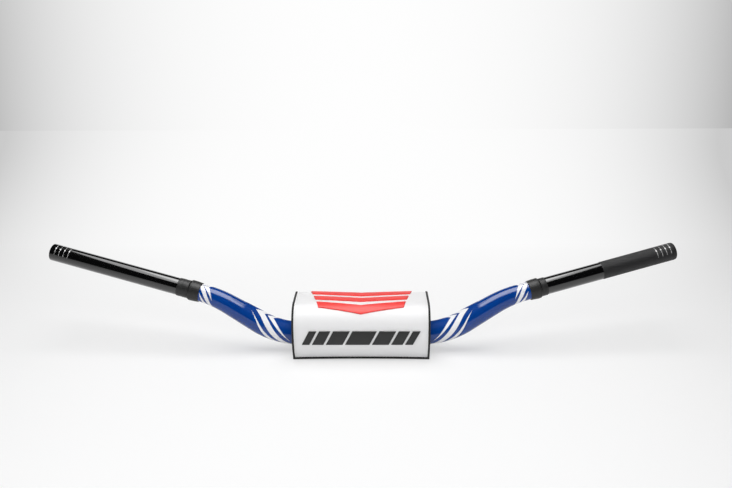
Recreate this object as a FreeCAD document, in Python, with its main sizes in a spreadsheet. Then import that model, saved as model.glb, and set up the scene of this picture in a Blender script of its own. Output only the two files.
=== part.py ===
import FreeCAD, Part
import Sketcher
import enum
import math
import os
import re

# Motocross handlebar with its bar pad.
# X runs along the bar, +X towards the knurled end. Y points back to the rider, Z up.
# The origin is the middle of the clamp zone, on the tube's centreline.

# Driving dimensions in millimetres
DIMENSIONS = [
    # Bar tube: where its corners lie and how they are rounded
    ("overall_width", "800"),
    ("inner_corner_out", "104.3"),
    ("outer_corner_out", "183.3"),
    ("outer_corner_back", "9"),
    ("outer_corner_up", "45.3"),
    ("tip_back", "49"),
    ("tip_up", "93.5"),
    ("inner_bend_radius", "104"),
    ("outer_bend_radius", "125"),
    # Bar tube: its section in the clamp zone and at the grips
    ("clamp_diameter", "28.6"),
    ("clamp_wall", "3.9"),
    ("grip_diameter", "22.2"),
    ("grip_wall", "4"),
    ("tip_rounding", "1.6"),
    ("tip_chamfer", "0.8"),
    ("knurl_length", "100"),
    ("knurl_height", "0.2"),
    # Printed film round the bends
    ("film_thickness", "0.25"),
    ("glue_thickness", "0.05"),
    ("film_lead", "5"),
    # Rubber collars at the inner ends of the grips
    ("collar_length", "14.7"),
    ("collar_root_diameter", "24.6"),
    ("collar_diameter", "26"),
    ("collar_rounding", "1.8"),
    ("neck_wall", "0.6"),
    ("neck_length_left", "15.1"),
    ("neck_length_right", "8.3"),
    ("collar_start_left", "0.7"),
    ("collar_start_right", "8.5"),
    ("rubber_clearance", "0.05"),
    ("seat_depth", "0.25"),
    ("seat_run_out", "0.5"),
    # Bar pad: its place and its section across the bar
    ("pad_offset", "0"),
    ("pad_width", "168.5"),
    ("pad_top", "46.6"),
    ("pad_underside", "23"),
    ("pad_half_depth", "45"),
    ("shoulder_radius", "25"),
    ("side_radius", "68"),
    ("cover_thickness", "1.5"),
    ("panel_thickness", "1.5"),
    ("piping_width", "2.6"),
    ("piping_height", "0.9"),
    ("piping_rounding", "0.8"),
    ("foam_clearance", "0.6"),
    ("slit_width", "9"),
    # Hook-and-loop closure and the tape along the lower edges
    ("flap_thickness", "1.4"),
    ("flap_length", "132"),
    ("hook_reach", "9"),
    ("loop_reach", "9"),
    ("binding_width", "3.6"),
    ("binding_lip", "0.8"),
    ("binding_rounding", "1.1"),
    # Raised mouldings on the cover
    ("moulding_height", "1.6"),
    ("top_motif_width", "128"),
    ("top_motif_back", "24"),
    ("chevron_depth", "11.5"),
    ("chevron_gap", "9"),
    ("chevron_dip", "10"),
    ("chevron_slant", "2.5"),
    ("front_motif_width", "144"),
    ("front_motif_top", "19.2"),
    ("front_motif_height", "18"),
    ("block_gap", "3.2"),
    ("block_lean", "9"),
]

CHEVRON_COUNT = 3
BLOCK_SHARES = [1, 1.5, 2.2, 3.2, 2.2, 1.5, 1]

# Distance in millimetres under which two places count as one
SAME_PLACE = 0.01

doc = FreeCAD.newDocument("motocross_handlebar")
sheet = doc.addObject("Spreadsheet::Sheet", "Sizes")
for row, (alias, number) in enumerate(DIMENSIONS, start=1):
    sheet.set(f"A{row}", alias)
    sheet.set(f"B{row}", number)
    sheet.setAlias(f"B{row}", alias)
doc.recompute()

Vector = FreeCAD.Vector


def size(expression):
    """The value of a size, or of a sum of sizes, from the sheet."""
    return float(sheet.evalExpression(expression))


def from_sheet(expression):
    """The same expression as any other object has to write it."""
    aliases = [alias for alias, _ in DIMENSIONS]
    return re.sub(r"[a-z]\w*", lambda word: "Sizes." * (word.group() in aliases) + word.group(), expression)


def bind(feature, **expressions):
    """Ties properties of a feature to sizes of the sheet."""
    for name, expression in expressions.items():
        feature.setExpression(name.replace("__", "."), from_sheet(expression))


def named(shape, name):
    """A document object that holds a shape made here."""
    feature = doc.addObject("Part::Feature", name)
    feature.Label = name
    feature.Shape = shape.Solids[0] if len(shape.Solids) == 1 else shape
    return feature


def fused(pieces):
    """One solid out of pieces that meet face to face."""
    return pieces[0].multiFuse(pieces[1:]).removeSplitter()


# Centreline of the bar, right-hand half

class Bend:
    """The arc that rounds the corner between two straight runs."""

    def __init__(self, before, corner, after, radius):
        back = (before - corner).normalize()
        ahead = (after - corner).normalize()
        half_angle = back.getAngle(ahead) / 2
        setback = radius / math.tan(half_angle)
        to_centre = (back + ahead).normalize()
        self.centre = corner + to_centre * (radius / math.sin(half_angle))
        self.entry = corner + back * setback
        self.exit = corner + ahead * setback
        self.middle = self.centre - to_centre * radius
        self.along_entry = back * -1
        self.along_exit = ahead
        self.turn = math.pi - 2 * half_angle
        self.axis = back.cross(ahead).normalize() * -1
        self.length = radius * self.turn
        self.edge = Part.Arc(self.entry, self.middle, self.exit).toShape()


origin = Vector(0, 0, 0)
inner_corner = Vector(size("inner_corner_out"), 0, 0)
outer_corner = Vector(size("outer_corner_out"), size("outer_corner_back"), size("outer_corner_up"))
tip = Vector(size("overall_width / 2"), size("tip_back"), size("tip_up"))
inner_bend = Bend(origin, inner_corner, outer_corner, size("inner_bend_radius"))
outer_bend = Bend(inner_corner, outer_corner, tip, size("outer_bend_radius"))
grip_direction = outer_bend.along_exit

# The tube is drawn down steadily from the end of the inner bend to the end of the outer one
arm_run = outer_bend.entry - inner_bend.exit
arm_share = arm_run.Length / (arm_run.Length + outer_bend.length)


def round_run(start, end, start_radius, end_radius):
    """A straight stretch of round bar, or a cone where its radii differ."""
    run = end - start
    if start_radius == end_radius:
        return Part.makeCylinder(start_radius, run.Length, start, run)
    return Part.makeCone(start_radius, end_radius, run.Length, start, run)


def round_bend(bend, radius):
    """A bent stretch of one radius: a sector of a torus."""
    rim = Part.Circle(bend.entry, bend.along_entry, radius).toShape()
    disc = Part.Face(Part.Wire([rim]))
    return disc.revolve(bend.centre, bend.axis, math.degrees(bend.turn))


def drawn_bend(bend, start_radius, end_radius):
    """A bent stretch whose radius falls steadily along it."""
    pipe = Part.BRepOffsetAPI.MakePipeShell(Part.Wire([bend.edge]))
    pipe.add(Part.Wire([Part.Circle(bend.entry, bend.along_entry, start_radius).toShape()]))
    pipe.add(Part.Wire([Part.Circle(bend.exit, bend.along_exit, end_radius).toShape()]))
    pipe.build()
    pipe.makeSolid()
    return pipe.shape()


def swaged_bar(clamp_radius, grip_radius, start, end):
    """The right-hand bar from a point of the clamp zone to a point of the grip."""
    middle_radius = clamp_radius + (grip_radius - clamp_radius) * arm_share
    return fused([
        round_run(start, inner_bend.entry, clamp_radius, clamp_radius),
        round_bend(inner_bend, clamp_radius),
        round_run(inner_bend.exit, outer_bend.entry, clamp_radius, middle_radius),
        drawn_bend(outer_bend, middle_radius, grip_radius),
        round_run(outer_bend.exit, end, grip_radius, grip_radius),
    ])


def mirrored(shape):
    """The left-hand twin of a right-hand shape."""
    return shape.mirror(origin, Vector(1, 0, 0))


# Bar tube: swaged outside, bore that follows it, knurled right-hand end, seats for the collars

clamp_radius = size("clamp_diameter / 2")
grip_radius = size("grip_diameter / 2")
clamp_bore_radius = size("clamp_diameter / 2 - clamp_wall")
grip_bore_radius = size("grip_diameter / 2 - grip_wall")
past_tip = tip + grip_direction
left_tip = Vector(-tip.x, tip.y, tip.z)

outside = swaged_bar(clamp_radius, grip_radius, origin, tip)
bore = swaged_bar(clamp_bore_radius, grip_bore_radius, origin, past_tip)
knurl_start = tip - grip_direction * size("knurl_length")
knurl_radius = size("grip_diameter / 2 + knurl_height")
knurl = round_run(knurl_start, tip, knurl_radius, knurl_radius)


def collar_seat(collar_start, neck_length):
    """The shallow groove that holds a collar, round the right-hand grip."""
    start = outer_bend.exit + grip_direction * size(collar_start)
    end = start + grip_direction * size(f"collar_length + {neck_length} + seat_run_out")
    seat_radius = size("grip_diameter / 2 - seat_depth")
    return round_run(start, end, knurl_radius, knurl_radius).cut(round_run(start, end, seat_radius, seat_radius))


seat_right = collar_seat("collar_start_right", "neck_length_right")
seat_left = mirrored(collar_seat("collar_start_left", "neck_length_left"))
tube = fused([outside, knurl, mirrored(outside)]).cut([fused([bore, mirrored(bore)]), seat_right, seat_left])


def tip_rims(shape, smallest, largest):
    """The round edges of both end faces with a radius between two limits."""
    rims = []
    for edge in shape.Edges:
        if not isinstance(edge.Curve, Part.Circle):
            continue
        at_tip = min((edge.Curve.Center - end).Length for end in (tip, left_tip)) < SAME_PLACE
        if at_tip and smallest < edge.Curve.Radius < largest:
            rims.append(edge)
    return rims


outer_rims = tip_rims(tube, grip_radius - SAME_PLACE, knurl_radius + SAME_PLACE)
tube = tube.makeFillet(size("tip_rounding"), outer_rims)
inner_rims = tip_rims(tube, 0, grip_bore_radius + SAME_PLACE)
tube = tube.makeChamfer(size("tip_chamfer"), inner_rims)
named(tube, "bar_tube")


# Film round each arm, from inside the pad to the collar

film_start = inner_bend.entry - Vector(size("film_lead"), 0, 0)
film_inside = size("glue_thickness")
film_outside = size("glue_thickness + film_thickness")


def film(start_of_collar):
    """The printed film of the right-hand arm, up to its collar."""
    end = outer_bend.exit + grip_direction * start_of_collar
    sleeve = swaged_bar(clamp_radius + film_outside, grip_radius + film_outside, film_start, end)
    hollow = swaged_bar(clamp_radius + film_inside, grip_radius + film_inside, film_start, end)
    return sleeve.cut(hollow)


named(film(size("collar_start_right")), "graphic_right")
named(mirrored(film(size("collar_start_left"))), "graphic_left")


# Sketches and bodies of the pieces that are sewn, moulded or turned

class Point(enum.IntEnum):
    """Which end of a sketch curve a constraint holds."""
    START = 1
    END = 2


START = Point.START
END = Point.END
UPRIGHT_AXIS = -2
SKETCH_ORIGIN = (-1, START)


def new_body(name):
    body = doc.addObject("PartDesign::Body", name)
    body.Label = name
    return body


def new_sketch(body, role):
    """A sketch on one of the body's own origin planes."""
    sketch = body.newObject("Sketcher::SketchObject", body.Name + "_sketch")
    support = [item for item in body.Origin.OriginFeatures if item.Role == role][0]
    sketch.AttachmentSupport = [(support, "")]
    sketch.MapMode = "FlatFace"
    return sketch


def line(sketch, start, end):
    return sketch.addGeometry(Part.LineSegment(Vector(*start, 0), Vector(*end, 0)))


def arc(sketch, centre, radius, start_angle, end_angle):
    circle = Part.Circle(Vector(*centre, 0), Vector(0, 0, 1), radius)
    return sketch.addGeometry(Part.ArcOfCircle(circle, start_angle, end_angle))


def relate(sketch, kind, *points):
    sketch.addConstraint(Sketcher.Constraint(kind, *points))


def drive(sketch, kind, *points, by):
    """A dimension of the sketch that follows sizes of the sheet."""
    number = sketch.addConstraint(Sketcher.Constraint(kind, *points, size(by)))
    sketch.setExpression(f"Constraints[{number}]", from_sheet(by))


def height(sketch, point, by):
    drive(sketch, "DistanceY", *SKETCH_ORIGIN, *point, by=by)


def reach(sketch, point, by):
    drive(sketch, "DistanceX", *SKETCH_ORIGIN, *point, by=by)


def extrude(body, sketch, length, symmetric=False):
    pad = body.newObject("PartDesign::Pad", body.Name + "_pad")
    pad.Profile = sketch
    pad.SideType = "Symmetric" if symmetric else "One side"
    bind(pad, Length=length)
    return pad


# Collars: turned profile round the grip's axis, tapered body, rounded shoulder, thin neck

def collar(name, neck_length, place, direction):
    body = new_body(name)
    profile = new_sketch(body, "XZ_Plane")
    bore_height = "grip_diameter / 2 - seat_depth + rubber_clearance"
    neck_height = bore_height + " + neck_wall"
    bore = size(bore_height)
    neck = size(neck_height)
    root = size("collar_root_diameter / 2")
    crest = size("collar_diameter / 2")
    rounding = size("collar_rounding")
    length = size("collar_length")
    reach_out = length + size(neck_length)

    inner_face = line(profile, (0, bore), (0, root))
    taper = line(profile, (0, root), (length - rounding, crest))
    shoulder = arc(profile, (length - rounding, crest - rounding), rounding, 0, math.pi / 2)
    step = line(profile, (length, crest - rounding), (length, neck))
    neck_top = line(profile, (length, neck), (reach_out, neck))
    outer_face = line(profile, (reach_out, neck), (reach_out, bore))
    inside = line(profile, (reach_out, bore), (0, bore))

    relate(profile, "Coincident", inner_face, END, taper, START)
    relate(profile, "Tangent", taper, END, shoulder, END)
    relate(profile, "Tangent", shoulder, START, step, START)
    relate(profile, "Coincident", step, END, neck_top, START)
    relate(profile, "Coincident", neck_top, END, outer_face, START)
    relate(profile, "Coincident", outer_face, END, inside, START)
    relate(profile, "Coincident", inside, END, inner_face, START)
    relate(profile, "PointOnObject", inner_face, START, UPRIGHT_AXIS)
    for upright in (inner_face, step, outer_face):
        relate(profile, "Vertical", upright)
    for level in (neck_top, inside):
        relate(profile, "Horizontal", level)
    height(profile, (inner_face, START), bore_height)
    height(profile, (inner_face, END), "collar_root_diameter / 2")
    height(profile, (taper, END), "collar_diameter / 2")
    height(profile, (step, END), neck_height)
    drive(profile, "Radius", shoulder, by="collar_rounding")
    reach(profile, (step, END), "collar_length")
    drive(profile, "DistanceX", neck_top, START, neck_top, END, by=neck_length)

    turned = body.newObject("PartDesign::Revolution", name + "_turned")
    turned.Profile = profile
    turned.ReferenceAxis = (profile, ["H_Axis"])
    turned.Angle = 360
    body.Placement = FreeCAD.Placement(place, FreeCAD.Rotation(Vector(1, 0, 0), direction))


right_place = outer_bend.exit + grip_direction * size("collar_start_right")
left_place = outer_bend.exit + grip_direction * size("collar_start_left")
left_place.x = -left_place.x
left_direction = Vector(-grip_direction.x, grip_direction.y, grip_direction.z)
collar("collar_right", "neck_length_right", right_place, grip_direction)
collar("collar_left", "neck_length_left", left_place, left_direction)


# Section of the pad across the bar: flat top, round shoulders, sides that draw in below

FOAM_BOTTOM = "2 * flap_thickness - pad_underside"
SHOULDER_LEVEL = "pad_top - shoulder_radius"


def pad_curves(sketch, inset):
    """The top, shoulders and sides of the pad's section, moved in by an inset."""
    flat = size("pad_half_depth - shoulder_radius")
    level = size(SHOULDER_LEVEL)
    shoulder = size(f"shoulder_radius - ({inset})")
    side = size(f"side_radius - ({inset})")
    side_centre = size("pad_half_depth - side_radius")
    fall = math.asin((level - size(FOAM_BOTTOM)) / side)
    quarter = math.pi / 2

    top = line(sketch, (-flat, level + shoulder), (flat, level + shoulder))
    front_shoulder = arc(sketch, (-flat, level), shoulder, quarter, 2 * quarter)
    rear_shoulder = arc(sketch, (flat, level), shoulder, 0, quarter)
    front_side = arc(sketch, (-side_centre, level), side, 2 * quarter, 2 * quarter + fall)
    rear_side = arc(sketch, (side_centre, level), side, -fall, 0)

    relate(sketch, "Tangent", top, START, front_shoulder, START)
    relate(sketch, "Tangent", top, END, rear_shoulder, END)
    relate(sketch, "Tangent", front_shoulder, END, front_side, START)
    relate(sketch, "Tangent", rear_shoulder, START, rear_side, END)
    relate(sketch, "Symmetric", top, START, top, END, UPRIGHT_AXIS)
    height(sketch, (top, START), f"pad_top - ({inset})")
    reach(sketch, (top, END), "pad_half_depth - shoulder_radius")
    height(sketch, (front_shoulder, END), SHOULDER_LEVEL)
    height(sketch, (rear_shoulder, START), SHOULDER_LEVEL)
    for shoulder_arc in (front_shoulder, rear_shoulder):
        drive(sketch, "Radius", shoulder_arc, by=f"shoulder_radius - ({inset})")
    for side_arc in (front_side, rear_side):
        drive(sketch, "Radius", side_arc, by=f"side_radius - ({inset})")
    height(sketch, (front_side, END), FOAM_BOTTOM)
    height(sketch, (rear_side, START), FOAM_BOTTOM)
    foot = -side_centre - side * math.cos(fall)
    return (front_side, END), (rear_side, START), foot


def join_feet(sketch, start, end, start_across, end_across):
    """A level line between the lower ends of two side curves."""
    level = size(FOAM_BOTTOM)
    across = line(sketch, (start_across, level), (end_across, level))
    relate(sketch, "Coincident", across, START, *start)
    relate(sketch, "Coincident", across, END, *end)


def pad_block(name, inset, length, symmetric=True):
    """A full slice of the pad's section."""
    body = new_body(name)
    sketch = new_sketch(body, "YZ_Plane")
    front, rear, foot = pad_curves(sketch, inset)
    join_feet(sketch, front, rear, foot, -foot)
    extrude(body, sketch, length, symmetric)
    return body


def pad_sheet(name, outer_inset, inner_inset, length, symmetric=True):
    """A sheet that follows the pad's section and is open below."""
    body = new_body(name)
    sketch = new_sketch(body, "YZ_Plane")
    outer_front, outer_rear, outer_foot = pad_curves(sketch, outer_inset)
    inner_front, inner_rear, inner_foot = pad_curves(sketch, inner_inset)
    join_feet(sketch, outer_front, inner_front, outer_foot, inner_foot)
    join_feet(sketch, inner_rear, outer_rear, -inner_foot, -outer_foot)
    extrude(body, sketch, length, symmetric)
    return body


# Cover and the piping round its two ends

COVER_LENGTH = "pad_width - 2 * piping_width"
cover = pad_sheet("pad_cover", "0", "cover_thickness", COVER_LENGTH)
bind(cover, Placement__Base__x="pad_offset")


def round_outer_edges(body, outermost, radius):
    """Rounds the long edges that lie on the body's outermost surface."""
    doc.recompute()
    base = body.Tip
    names = []
    for number, edge in enumerate(base.Shape.Edges, start=1):
        middle = edge.valueAt((edge.FirstParameter + edge.LastParameter) / 2)
        in_one_slice = edge.BoundBox.XLength < SAME_PLACE
        if in_one_slice and outermost(middle):
            names.append(f"Edge{number}")
    fillet = body.newObject("PartDesign::Fillet", body.Name + "_rounding")
    fillet.Base = (base, names)
    bind(fillet, Radius=radius)


def on_pad_surface(point, inset):
    """Whether a point lies on the pad's section moved in by an inset."""
    level = size(SHOULDER_LEVEL)
    across = abs(point.y)
    if point.z < level:
        to_side = math.hypot(across - size("pad_half_depth - side_radius"), point.z - level)
        return abs(to_side - size("side_radius") + inset) < SAME_PLACE
    flat = size("pad_half_depth - shoulder_radius")
    to_shoulder = math.hypot(max(across - flat, 0), point.z - level)
    return abs(to_shoulder - size("shoulder_radius") + inset) < SAME_PLACE


def piping(name, start):
    body = pad_sheet(name, "-piping_height", "cover_thickness", "piping_width", symmetric=False)
    round_outer_edges(body, lambda point: on_pad_surface(point, -size("piping_height")), "piping_rounding")
    bind(body, Placement__Base__x=start)


piping("piping_right", "pad_offset + pad_width / 2 - piping_width")
piping("piping_left", "pad_offset - pad_width / 2")


# Foam and end panels, cut for the bar and for the slit that lets it in

channel_radius = clamp_radius + size("foam_clearance")
channel_end = grip_radius + size("foam_clearance")
channel_right = swaged_bar(channel_radius, channel_end, origin, tip)
channel = named(fused([channel_right, mirrored(channel_right)]), "bar_channel")

slit = doc.addObject("Part::Box", "slit")
bind(slit, Length="pad_width + 2", Width="slit_width", Height="pad_underside")
bind(slit, Placement__Base__x="pad_offset - pad_width / 2 - 1", Placement__Base__y="-slit_width / 2")
bind(slit, Placement__Base__z="-pad_underside")

bar_opening = doc.addObject("Part::MultiFuse", "bar_opening")
bar_opening.Shapes = [channel, slit]


def cut_for_bar(name, block):
    piece = doc.addObject("Part::Cut", name)
    piece.Label = name
    piece.Base = block
    piece.Tool = bar_opening


foam_block = pad_block("foam_block", "cover_thickness", "pad_width - 2 * panel_thickness")
bind(foam_block, Placement__Base__x="pad_offset")
cut_for_bar("pad_foam", foam_block)

right_panel = pad_block("right_panel", "cover_thickness", "panel_thickness", symmetric=False)
bind(right_panel, Placement__Base__x="pad_offset + pad_width / 2 - panel_thickness")
cut_for_bar("end_panel_right", right_panel)

left_panel = pad_block("left_panel", "cover_thickness", "panel_thickness", symmetric=False)
bind(left_panel, Placement__Base__x="pad_offset - pad_width / 2")
cut_for_bar("end_panel_left", left_panel)


# Tape along the lower edges of the cover, under its sheet and as deep as both flaps

COVER_FOOT = ("pad_half_depth - side_radius"
              " + sqrt(side_radius ^ 2 - (pad_top - shoulder_radius + pad_underside - 2 * flap_thickness) ^ 2)")
BINDING_OUT = COVER_FOOT + " + binding_lip"


def binding(name, side):
    """side is -1 for the front edge of the pad and 1 for the rear one."""
    body = new_body(name)
    sketch = new_sketch(body, "YZ_Plane")
    out = side * size(BINDING_OUT)
    inside = out - side * size("binding_width")
    bottom = size("-pad_underside")
    top = size(FOAM_BOTTOM)
    corners = [(out, bottom), (inside, bottom), (inside, top), (out, top)]
    lower, inner, upper, outer = [
        line(sketch, corner, following) for corner, following in zip(corners, corners[1:] + corners[:1])]
    for first, second in ((lower, inner), (inner, upper), (upper, outer), (outer, lower)):
        relate(sketch, "Coincident", first, END, second, START)
    for level in (lower, upper):
        relate(sketch, "Horizontal", level)
    for upright in (inner, outer):
        relate(sketch, "Vertical", upright)
    height(sketch, (lower, START), "-pad_underside")
    height(sketch, (upper, START), FOAM_BOTTOM)
    reach(sketch, (lower, START), f"{side} * ({BINDING_OUT})")
    reach(sketch, (lower, END), f"{side} * ({BINDING_OUT} - binding_width)")
    extrude(body, sketch, "pad_width", symmetric=True)

    doc.recompute()
    base = body.Tip
    names = []
    for number, edge in enumerate(base.Shape.Edges, start=1):
        along_pad = edge.BoundBox.XLength > size("pad_width") / 2
        if along_pad and abs(edge.CenterOfMass.y - out) < SAME_PLACE:
            names.append(f"Edge{number}")
    fillet = body.newObject("PartDesign::Fillet", name + "_rounding")
    fillet.Base = (base, names)
    bind(fillet, Radius="binding_rounding")
    bind(body, Placement__Base__x="pad_offset")


binding("binding_front", -1)
binding("binding_rear", 1)


# Closure under the slit: the hook flap lies on the ground, the loop flap above it

def flap(name, start, width, bottom):
    box = doc.addObject("Part::Box", name)
    box.Label = name
    bind(box, Length="flap_length", Width=width, Height="flap_thickness")
    bind(box, Placement__Base__x="pad_offset - flap_length / 2")
    bind(box, Placement__Base__y=start, Placement__Base__z=bottom)


BINDING_IN = f"({BINDING_OUT} - binding_width)"
flap("closure_flap_hook", f"-{BINDING_IN}", f"{BINDING_IN} + hook_reach", "-pad_underside")
flap("closure_flap_loop", "-loop_reach", f"{BINDING_IN} + loop_reach", "flap_thickness - pad_underside")


# Raised mouldings: a sheet on the cover, cut to bars that stand apart

raised_sheet = pad_sheet("raised_sheet", "-moulding_height", "0", COVER_LENGTH)
bind(raised_sheet, Placement__Base__x="pad_offset")


def prism(corners, along):
    """A straight prism over a closed outline."""
    outline = Part.makePolygon(corners + corners[:1])
    return Part.Face(outline).extrude(along)


def cut_out(name, prisms):
    """What the prisms cut out of the raised sheet."""
    cutter = named(Part.makeCompound(prisms), name + "_outlines")
    motif = doc.addObject("Part::Common", name)
    motif.Label = name
    motif.Base = raised_sheet
    motif.Tool = cutter


def chevron(number):
    """One of the nested chevrons on the top, the widest at the back."""
    half_width = size("top_motif_width / 2")
    back = size("top_motif_back")
    dip_slope = size("chevron_dip") / half_width
    end_slope = size("chevron_slant / chevron_depth")
    middle_back = back - size("chevron_dip") - number * size("chevron_depth + chevron_gap")
    middle_front = middle_back - size("chevron_depth")
    level = size(SHOULDER_LEVEL)
    centre = size("pad_offset")

    def corner(middle, side):
        out = (half_width - end_slope * (back - middle)) / (1 - end_slope * dip_slope)
        return Vector(centre + side * out, middle + dip_slope * out, level)

    corners = [
        corner(middle_back, -1),
        Vector(centre, middle_back, level),
        corner(middle_back, 1),
        corner(middle_front, 1),
        Vector(centre, middle_front, level),
        corner(middle_front, -1),
    ]
    return prism(corners, Vector(0, 0, size("shoulder_radius + 2 * moulding_height")))


def slanted_blocks():
    """The row of leaning blocks on the front, broad in the middle."""
    lean = size("block_lean")
    gap = size("block_gap")
    free_width = size("front_motif_width") - lean - gap * (len(BLOCK_SHARES) - 1)
    top = size("front_motif_top")
    bottom = size("front_motif_top - front_motif_height")
    outside = -size("pad_half_depth + 2 * moulding_height")
    left = size("pad_offset - front_motif_width / 2")
    blocks = []
    for share in BLOCK_SHARES:
        width = free_width * share / sum(BLOCK_SHARES)
        corners = [
            Vector(left, outside, bottom),
            Vector(left + width, outside, bottom),
            Vector(left + width + lean, outside, top),
            Vector(left + lean, outside, top),
        ]
        blocks.append(prism(corners, Vector(0, -outside, 0)))
        left += width + gap
    return blocks


cut_out("top_motif", [chevron(number) for number in range(CHEVRON_COUNT)])
cut_out("front_motif", slanted_blocks())


# Check and write the pieces

PIECES = [
    "bar_tube", "collar_left", "collar_right", "graphic_left", "graphic_right",
    "pad_foam", "pad_cover", "end_panel_left", "end_panel_right", "piping_left", "piping_right",
    "binding_front", "binding_rear", "closure_flap_hook", "closure_flap_loop",
    "top_motif", "front_motif",
]

doc.recompute()
for item in doc.Objects:
    if "Invalid" in item.State or "Error" in item.State:
        raise RuntimeError(f"{item.Name} failed: {item.State}")

os.makedirs("parts", exist_ok=True)
for name in PIECES:
    piece = doc.getObjectsByLabel(name)[0]
    if piece.Shape.isNull() or not piece.Shape.isValid():
        raise RuntimeError(f"{name} has no valid shape")
    piece.Shape.exportStep(f"parts/{name}.step")
    print(name, len(piece.Shape.Solids), "solids", round(piece.Shape.Volume / 1000, 2), "cm3")
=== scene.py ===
# %% [markdown]
# # A motocross handlebar and its bar pad
# One aluminium tube, about 800 mm wide, carries everything: it is thick in the middle, where the fork
# clamps it, and drawn down to grip size at both ends. Rubber collars mark the inner ends of the
# grips, a printed film wraps the bends, and a foam pad in a white cover sits over the middle.
# This lesson builds the looks of each piece round the solids of the CAD model, in metres.

# %% Load the frame
import bmesh
import bpy
import math
import numpy as np
from mathutils import Matrix, Vector


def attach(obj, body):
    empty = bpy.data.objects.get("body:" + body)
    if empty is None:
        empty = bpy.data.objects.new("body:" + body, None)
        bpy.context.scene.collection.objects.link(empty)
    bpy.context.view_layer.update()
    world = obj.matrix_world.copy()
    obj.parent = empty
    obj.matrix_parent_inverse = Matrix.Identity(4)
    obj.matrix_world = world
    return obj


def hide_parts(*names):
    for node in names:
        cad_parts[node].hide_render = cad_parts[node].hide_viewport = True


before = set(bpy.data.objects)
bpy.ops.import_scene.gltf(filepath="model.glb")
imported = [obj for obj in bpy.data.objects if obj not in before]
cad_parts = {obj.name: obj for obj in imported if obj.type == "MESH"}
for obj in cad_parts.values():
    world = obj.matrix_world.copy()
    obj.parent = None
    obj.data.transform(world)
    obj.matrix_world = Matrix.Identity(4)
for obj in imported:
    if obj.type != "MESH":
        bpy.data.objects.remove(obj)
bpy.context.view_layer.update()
MM = 0.001

# %% [markdown]
# ## The line of the bar
# A real bar is bent from a straight tube round two formers a side. Its centreline is therefore
# straight runs joined by arcs, and every piece on the tube needs to know where that line is at any
# distance from the middle. A curve object could hold it, but a small function gives the place, the
# directions and the radius exactly, so that rings of points can be laid wherever they are needed.

# %% The corners and sizes of the bar
INNER_CORNER = np.array([104.3, 0.0, 0.0]) * MM
OUTER_CORNER = np.array([183.3, 9.0, 45.3]) * MM
TIP = np.array([400.0, 49.0, 93.5]) * MM
INNER_BEND_RADIUS = 104 * MM
OUTER_BEND_RADIUS = 125 * MM
CLAMP_RADIUS = 14.3 * MM
GRIP_RADIUS = 11.1 * MM
CLAMP_BORE = 10.4 * MM
GRIP_BORE = 7.1 * MM


def unit(vector):
    return vector / np.linalg.norm(vector)


def bend_between(before, corner, after, radius):
    """Entry, exit, centre and turn of the arc that rounds a corner."""
    back, ahead = unit(before - corner), unit(after - corner)
    half_angle = math.acos(back @ ahead) / 2
    centre = corner + unit(back + ahead) * radius / math.sin(half_angle)
    entry = corner + back * radius / math.tan(half_angle)
    leave = corner + ahead * radius / math.tan(half_angle)
    return entry, leave, centre, math.pi - 2 * half_angle


inner_bend = bend_between(np.zeros(3), INNER_CORNER, OUTER_CORNER, INNER_BEND_RADIUS)
outer_bend = bend_between(INNER_CORNER, OUTER_CORNER, TIP, OUTER_BEND_RADIUS)
INNER_START = float(np.linalg.norm(inner_bend[0]))
INNER_END = INNER_START + INNER_BEND_RADIUS * inner_bend[3]
OUTER_START = INNER_END + float(np.linalg.norm(outer_bend[0] - inner_bend[1]))
OUTER_END = OUTER_START + OUTER_BEND_RADIUS * outer_bend[3]
BAR_END = OUTER_END + float(np.linalg.norm(TIP - outer_bend[1]))
ARM_DIRECTION = unit(outer_bend[0] - inner_bend[1])
GRIP_DIRECTION = unit(TIP - outer_bend[1])
print("half of the bar:", round(BAR_END / MM, 1), "mm; turns:",
      [round(math.degrees(bend[3]), 1) for bend in (inner_bend, outer_bend)])

# %% Place and directions at any distance from the middle


def half_line(distance):
    """Place and direction on the right-hand half."""
    if distance <= INNER_START:
        return np.array([distance, 0, 0]), np.array([1.0, 0, 0])
    if distance >= OUTER_END:
        return outer_bend[1] + GRIP_DIRECTION * (distance - OUTER_END), GRIP_DIRECTION
    if INNER_END <= distance <= OUTER_START:
        return inner_bend[1] + ARM_DIRECTION * (distance - INNER_END), ARM_DIRECTION
    bend, start, radius = inner_bend, INNER_START, INNER_BEND_RADIUS
    if distance > OUTER_START:
        bend, start, radius = outer_bend, OUTER_START, OUTER_BEND_RADIUS
    entry, leave, centre, _ = bend
    outwards = unit(entry - centre)
    ahead = unit((leave - centre) - outwards * ((leave - centre) @ outwards))
    angle = (distance - start) / radius
    place = centre + radius * (math.cos(angle) * outwards + math.sin(angle) * ahead)
    return place, math.cos(angle) * ahead - math.sin(angle) * outwards


def bar_line(station):
    """Place, forward and upward directions; stations run from -BAR_END to BAR_END."""
    place, along = half_line(abs(station))
    if station < 0:
        place, along = place * [-1, 1, 1], along * [1, -1, -1]
    forward = unit(np.array([0, -1.0, 0]) + along * along[1])
    return place, forward, np.cross(along, -forward)


def bar_radius(station, at_clamp=CLAMP_RADIUS, at_grip=GRIP_RADIUS):
    share = (abs(station) - INNER_END) / (OUTER_END - INNER_END)
    return at_clamp + (at_grip - at_clamp) * min(max(share, 0), 1)


print("200 mm from the middle, in mm: place", [round(c / MM, 1) for c in bar_line(200 * MM)[0]],
      "radius", round(bar_radius(200 * MM) / MM, 2))

# %% [markdown]
# ## Surfaces from rows of points
# Nearly every piece here is a row of points carried along a path: rings along the tube, a strip
# round the section of the pad, a tape along an edge. A Curve with a bevel makes such things too, but
# it gives little control over steps and rims. One helper joins the rows by quads instead, closes
# what has to be closed, and lays a map in millimetres on it that the finishes can read.

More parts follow.
